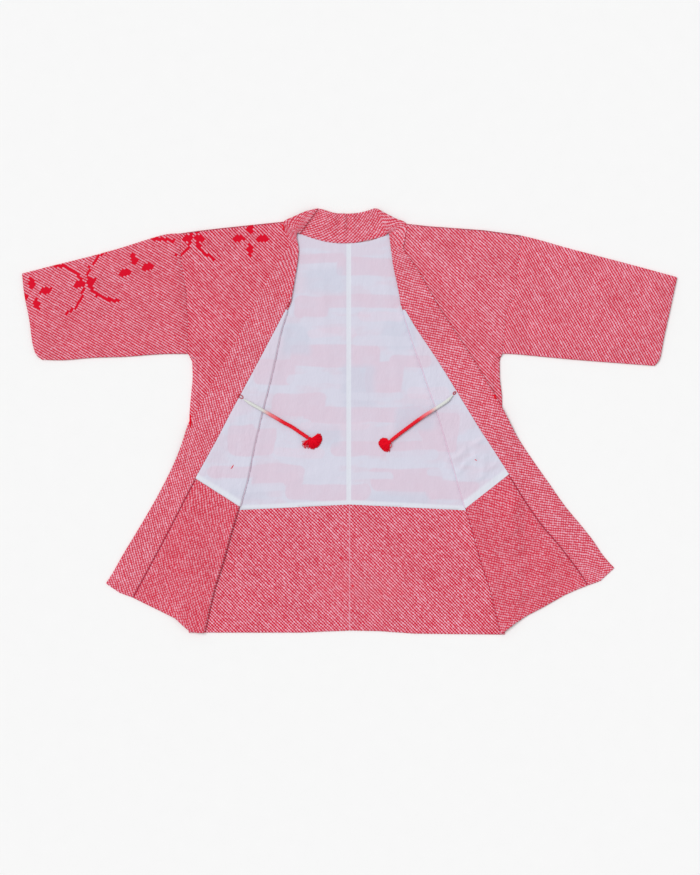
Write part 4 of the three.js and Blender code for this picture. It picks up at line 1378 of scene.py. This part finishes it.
def strand(side, angle, lift, length, radius):
    """One strand of a tassel; lift, from 0 to 1, is how high it lies in it."""
    head, curl = side["tassel"]["head"], side["tassel"]["curl"]
    turn_1 = math.radians(angle)
    turn_2 = math.radians(angle + curl * (0.5 + lift) + RNG.normal(0, 3))

    def ahead(turn_by, far, z):
        x, y = head[0] - far * math.cos(turn_by), head[1] - far * math.sin(turn_by)
        return place(side, (x, y, z))

    start = ahead(turn_1, TASSEL_HEAD * 0.6, head[2] - 1.6 + 3.6 * lift)
    middle = ahead(turn_1, length * 0.55, 5.2 + 4.6 * lift + RNG.normal(0, 0.4))
    end = ahead(turn_2, length, 3.1 + 1.6 * lift)
    f = np.linspace(0, 1, 9)[:, None]
    path = (1 - f) ** 2 * start + 2 * f * (1 - f) * middle + f**2 * end
    path[:, :2] += np.sin(f * 5 + RNG.uniform(0, 6)) * RNG.normal(0, 0.35, 2) * f
    return rings(path, radius * (1 - 0.35 * f[:, 0]), 5)


def ball(centre, radius, turns):
    """A head of wound thread: one fine coil from pole to pole."""
    angle = np.linspace(0, math.pi, 90 * turns // 4)
    spin = angle * 2 * turns
    coil = np.stack([np.sin(angle) * np.cos(spin), np.cos(angle), np.sin(angle) * np.sin(spin)], -1)
    return rings(centre + (radius - 0.45) * coil, 0.55, 6)


def core(centre, radius):
    """What fills the head below its coil."""
    angle = np.linspace(0.05, math.pi - 0.05, 14)
    line = centre - radius * np.cos(angle)[:, None] * [0, 1, 0]
    return rings(line, radius * np.sin(angle) + 0.02, 18)


def tassel(side):
    t = side["tassel"]
    head = place(side, t["head"])
    parts = [core(head, TASSEL_HEAD - 0.5), ball(head, TASSEL_HEAD, 7)]
    first, last = t["lengths"][0][0], t["lengths"][-1][0]
    for k in range(TASSEL_STRANDS):
        angle = first + (last - first) * (k + RNG.uniform(-0.4, 0.4)) / TASSEL_STRANDS
        length = look_up(t["lengths"], angle) * (1 - abs(RNG.normal(0, 0.05)))
        parts.append(strand(side, angle, RNG.uniform(0, 1), length, RNG.uniform(0.55, 0.8)))
    for _ in range(t["strays"]):
        angle, length = RNG.uniform(*t["loose"]), RNG.uniform(15, 20.5)
        parts.append(strand(side, angle, RNG.uniform(0, 0.6), length, RNG.uniform(0.5, 0.8)))
    if "ring" in t:
        turn_by = np.linspace(0, 2 * math.pi, 25)
        x, y = STRAY_RING * np.cos(turn_by), 1.5 * STRAY_RING * np.sin(turn_by)
        path = place(side, t["ring"]) + np.stack([x, y, 0.6 * np.cos(turn_by)], -1)
        parts.append(rings(path, 0.6, THREAD_SIDES))
    piece = make_mesh(f"tassel_strands_{side['name']}", *gather(parts))
    return finish_piece(piece, THREAD, f"tassel_{side['name']}")


def thread_loop(side):
    """The thread loop on the collar seam: two twisted plies in a ring."""
    first, second = (place(side, p)[:2] for p in side["cord"][:2])
    x, y = (first - second) / np.linalg.norm(first - second)
    turn_by = np.linspace(0, 2 * math.pi, 73)
    parts = []
    for phase in (0, math.pi):
        twist = PLY_TURNS * turn_by + phase
        a = (side["loop_size"][0] + PLY_APART * np.cos(twist)) * np.cos(turn_by)
        b = (side["loop_size"][1] + PLY_APART * np.cos(twist)) * np.sin(turn_by)
        z = PLY_APART * np.sin(twist) + LOOP_RISE * np.maximum(np.cos(turn_by), 0)
        path = place(side, side["loop"]) + np.stack([a * x - b * y, a * y + b * x, z], -1)
        parts.append(rings(path, 0.5, THREAD_SIDES))
    piece = make_mesh(f"chi_thread_{side['name']}", *gather(parts))
    return finish_piece(piece, LOOP_THREAD, f"chi_{side['name']}")


for each in SIDES:
    braid_piece, route = cord(each)
    knot = tassel(each)
    thread_loop(each)

# ---------------------------------------------------------------- the garment

# The cloths of each side, each with its material, its slot and how it is held. Those that
# are laid rest on the body.
CLOTHS = [
    (body, SHIBORI, "shibori_silk", "folded"),
    (sleeve, SHIBORI, "shibori_silk", "folded"),
    (gusset, SHIBORI, "shibori_silk", "laid"),
    (back_facing, SHIBORI_HEM, "shibori_silk", "laid"),
    (front_facing, SHIBORI_FACING, "shibori_silk", "laid"),
    (back_lining, BACK_SILK, "lining_silk", "laid"),
    (front_lining, FRONT_SILK, "lining_silk", "laid"),
]
WITH_FIGURES = {body: SHIBORI_BODY, sleeve: SHIBORI_SLEEVE}  # on the right only

collar_piece = finish_piece(collar(), SHIBORI_COLLAR, "collar")
for each in SIDES:
    below = []
    for build, material, slot, held in CLOTHS:
        if each is RIGHT:
            material = WITH_FIGURES.get(build, material)
        piece = finish_piece(build(each), material, f"{build.__name__}_{each['name']}")
        declare(piece, below if held == "laid" else ())
        below = below or [piece]
    # the seam's thread, dark red as painted shadow for the seam's groove
    finish_piece(collar_seam(each), PAINTED_SHADOW_RED)
    level = facing_level(each)
    # The lining's rolled edge at its fold, in silk made paler as painted light against the fold's
    # shade.
    silk_roll = fold_roll("front_lining_roll", each, level + 1, each["crossing"] - 25,
                          LINING_LIFT + LINING / 2 + 0.4, 0.1)
    finish_piece(silk_roll, PAINTED_LIGHT_ROLL_SILK)
    # A dark red roll at the facing's fold that stands for the shadow under the fold's edge: painted
    # shadow.
    fold_shadow_roll = fold_roll("front_fold_painted_shadow_roll", each, each["bottom"] + 2, level, CLOTH / 2 + 0.5, 0.9)
    finish_piece(fold_shadow_roll, PAINTED_SHADOW_RED)
declare(collar_piece)

# Tacks and stray ends of red thread: the two ends of each, in millimetres, and its thickness.
# The last of the collar's is painted shadow: a red thread in the gap at the collar's free edge
# where it meets the right shoulder.
TACKS = {
    "tack_threads_lining": [
        ((-225.0, -83.2), (-229.7, -90.8), 0.75), ((242.5, -72.4), (246.4, -74.6), 0.6),
    ],
    "tack_threads_facing": [
        ((-18.2, -262.4), (-15.4, -265.6), 0.8), ((4.6, -316.8), (8.6, -318.6), 1.1),
    ],
    "collar_threads_and_painted_shadow": [
        ((-308.6, 15.0), (-308.6, -10.0), 1.7), ((279.5, 53.0), (283.5, 45.0), 1.9),
        # painted shadow: a red thread for the gap at the collar's free edge by the right shoulder
        ((-130.0, 383.0), (-126.4, 372.0), 1.4),
    ],
}


def resting_height(x, y):
    """The height of the upper skin below a place, by looking down on the finished cloths."""
    seen = bpy.context.evaluated_depsgraph_get()
    hit, where, *_ = bpy.context.scene.ray_cast(seen, (x * MM, y * MM, 1.0), (0, 0, -1))
    return where[2] / MM if hit else 0.0


def tacks():
    bpy.context.view_layer.update()
    f = np.linspace(0, 1, 7)
    arch = np.sin(math.pi * f)
    for name, table in TACKS.items():
        parts = []
        for (x, y), (x_2, y_2), radius in table:
            xs, ys = x + (x_2 - x) * f, y + (y_2 - y) * f
            z = np.array([resting_height(a, b) for a, b in zip(xs, ys)])
            z = z + radius * (0.2 + 0.9 * arch)
            parts.append(rings(np.stack([xs, ys, z], -1), radius * (0.6 + 0.4 * arch), 8))
        finish_piece(make_mesh(name, *gather(parts)), THREAD)


tacks()

# ---------------------------------------------------------------- floor and light


def add_floor():
    mesh = bpy.data.meshes.new("floor")
    half = FLOOR_HALF
    corners = [(-half, -half, 0), (half, -half, 0), (half, half, 0), (-half, half, 0)]
    mesh.from_pydata(corners, [], [(0, 1, 2, 3)])
    floor = bpy.data.objects.new("floor", mesh)
    n = Nodes("floor")
    colour = n.mix(n.noise(n.where(), 30.0), srgb(243, 243, 243), srgb(245, 245, 245))
    mesh.materials.append(n.finish(colour, None, 0.9))
    bpy.context.collection.objects.link(floor)


def add_light(name, towards, spread, strength):
    """Soft light from one direction, as wide as a large softbox."""
    data = bpy.data.lights.new(name, "SUN")
    data.angle = math.radians(spread)
    data.energy = strength
    lamp = bpy.data.objects.new(name, data)
    lamp.location = towards
    lamp.rotation_euler = (-Vector(towards)).to_track_quat("-Z", "Y").to_euler()
    bpy.context.collection.objects.link(lamp)


def add_world():
    world = bpy.data.worlds.new("studio")
    world.use_nodes = True
    background = world.node_tree.nodes["Background"]
    background.inputs["Color"].default_value = (1, 1, 1, 1)
    background.inputs["Strength"].default_value = WORLD_STRENGTH
    bpy.context.scene.world = world
    bpy.context.scene.view_settings.view_transform = "Standard"


add_floor()
add_light("softbox", (-1.1, 0.8, 2.6), 36, 1.62)
add_world()
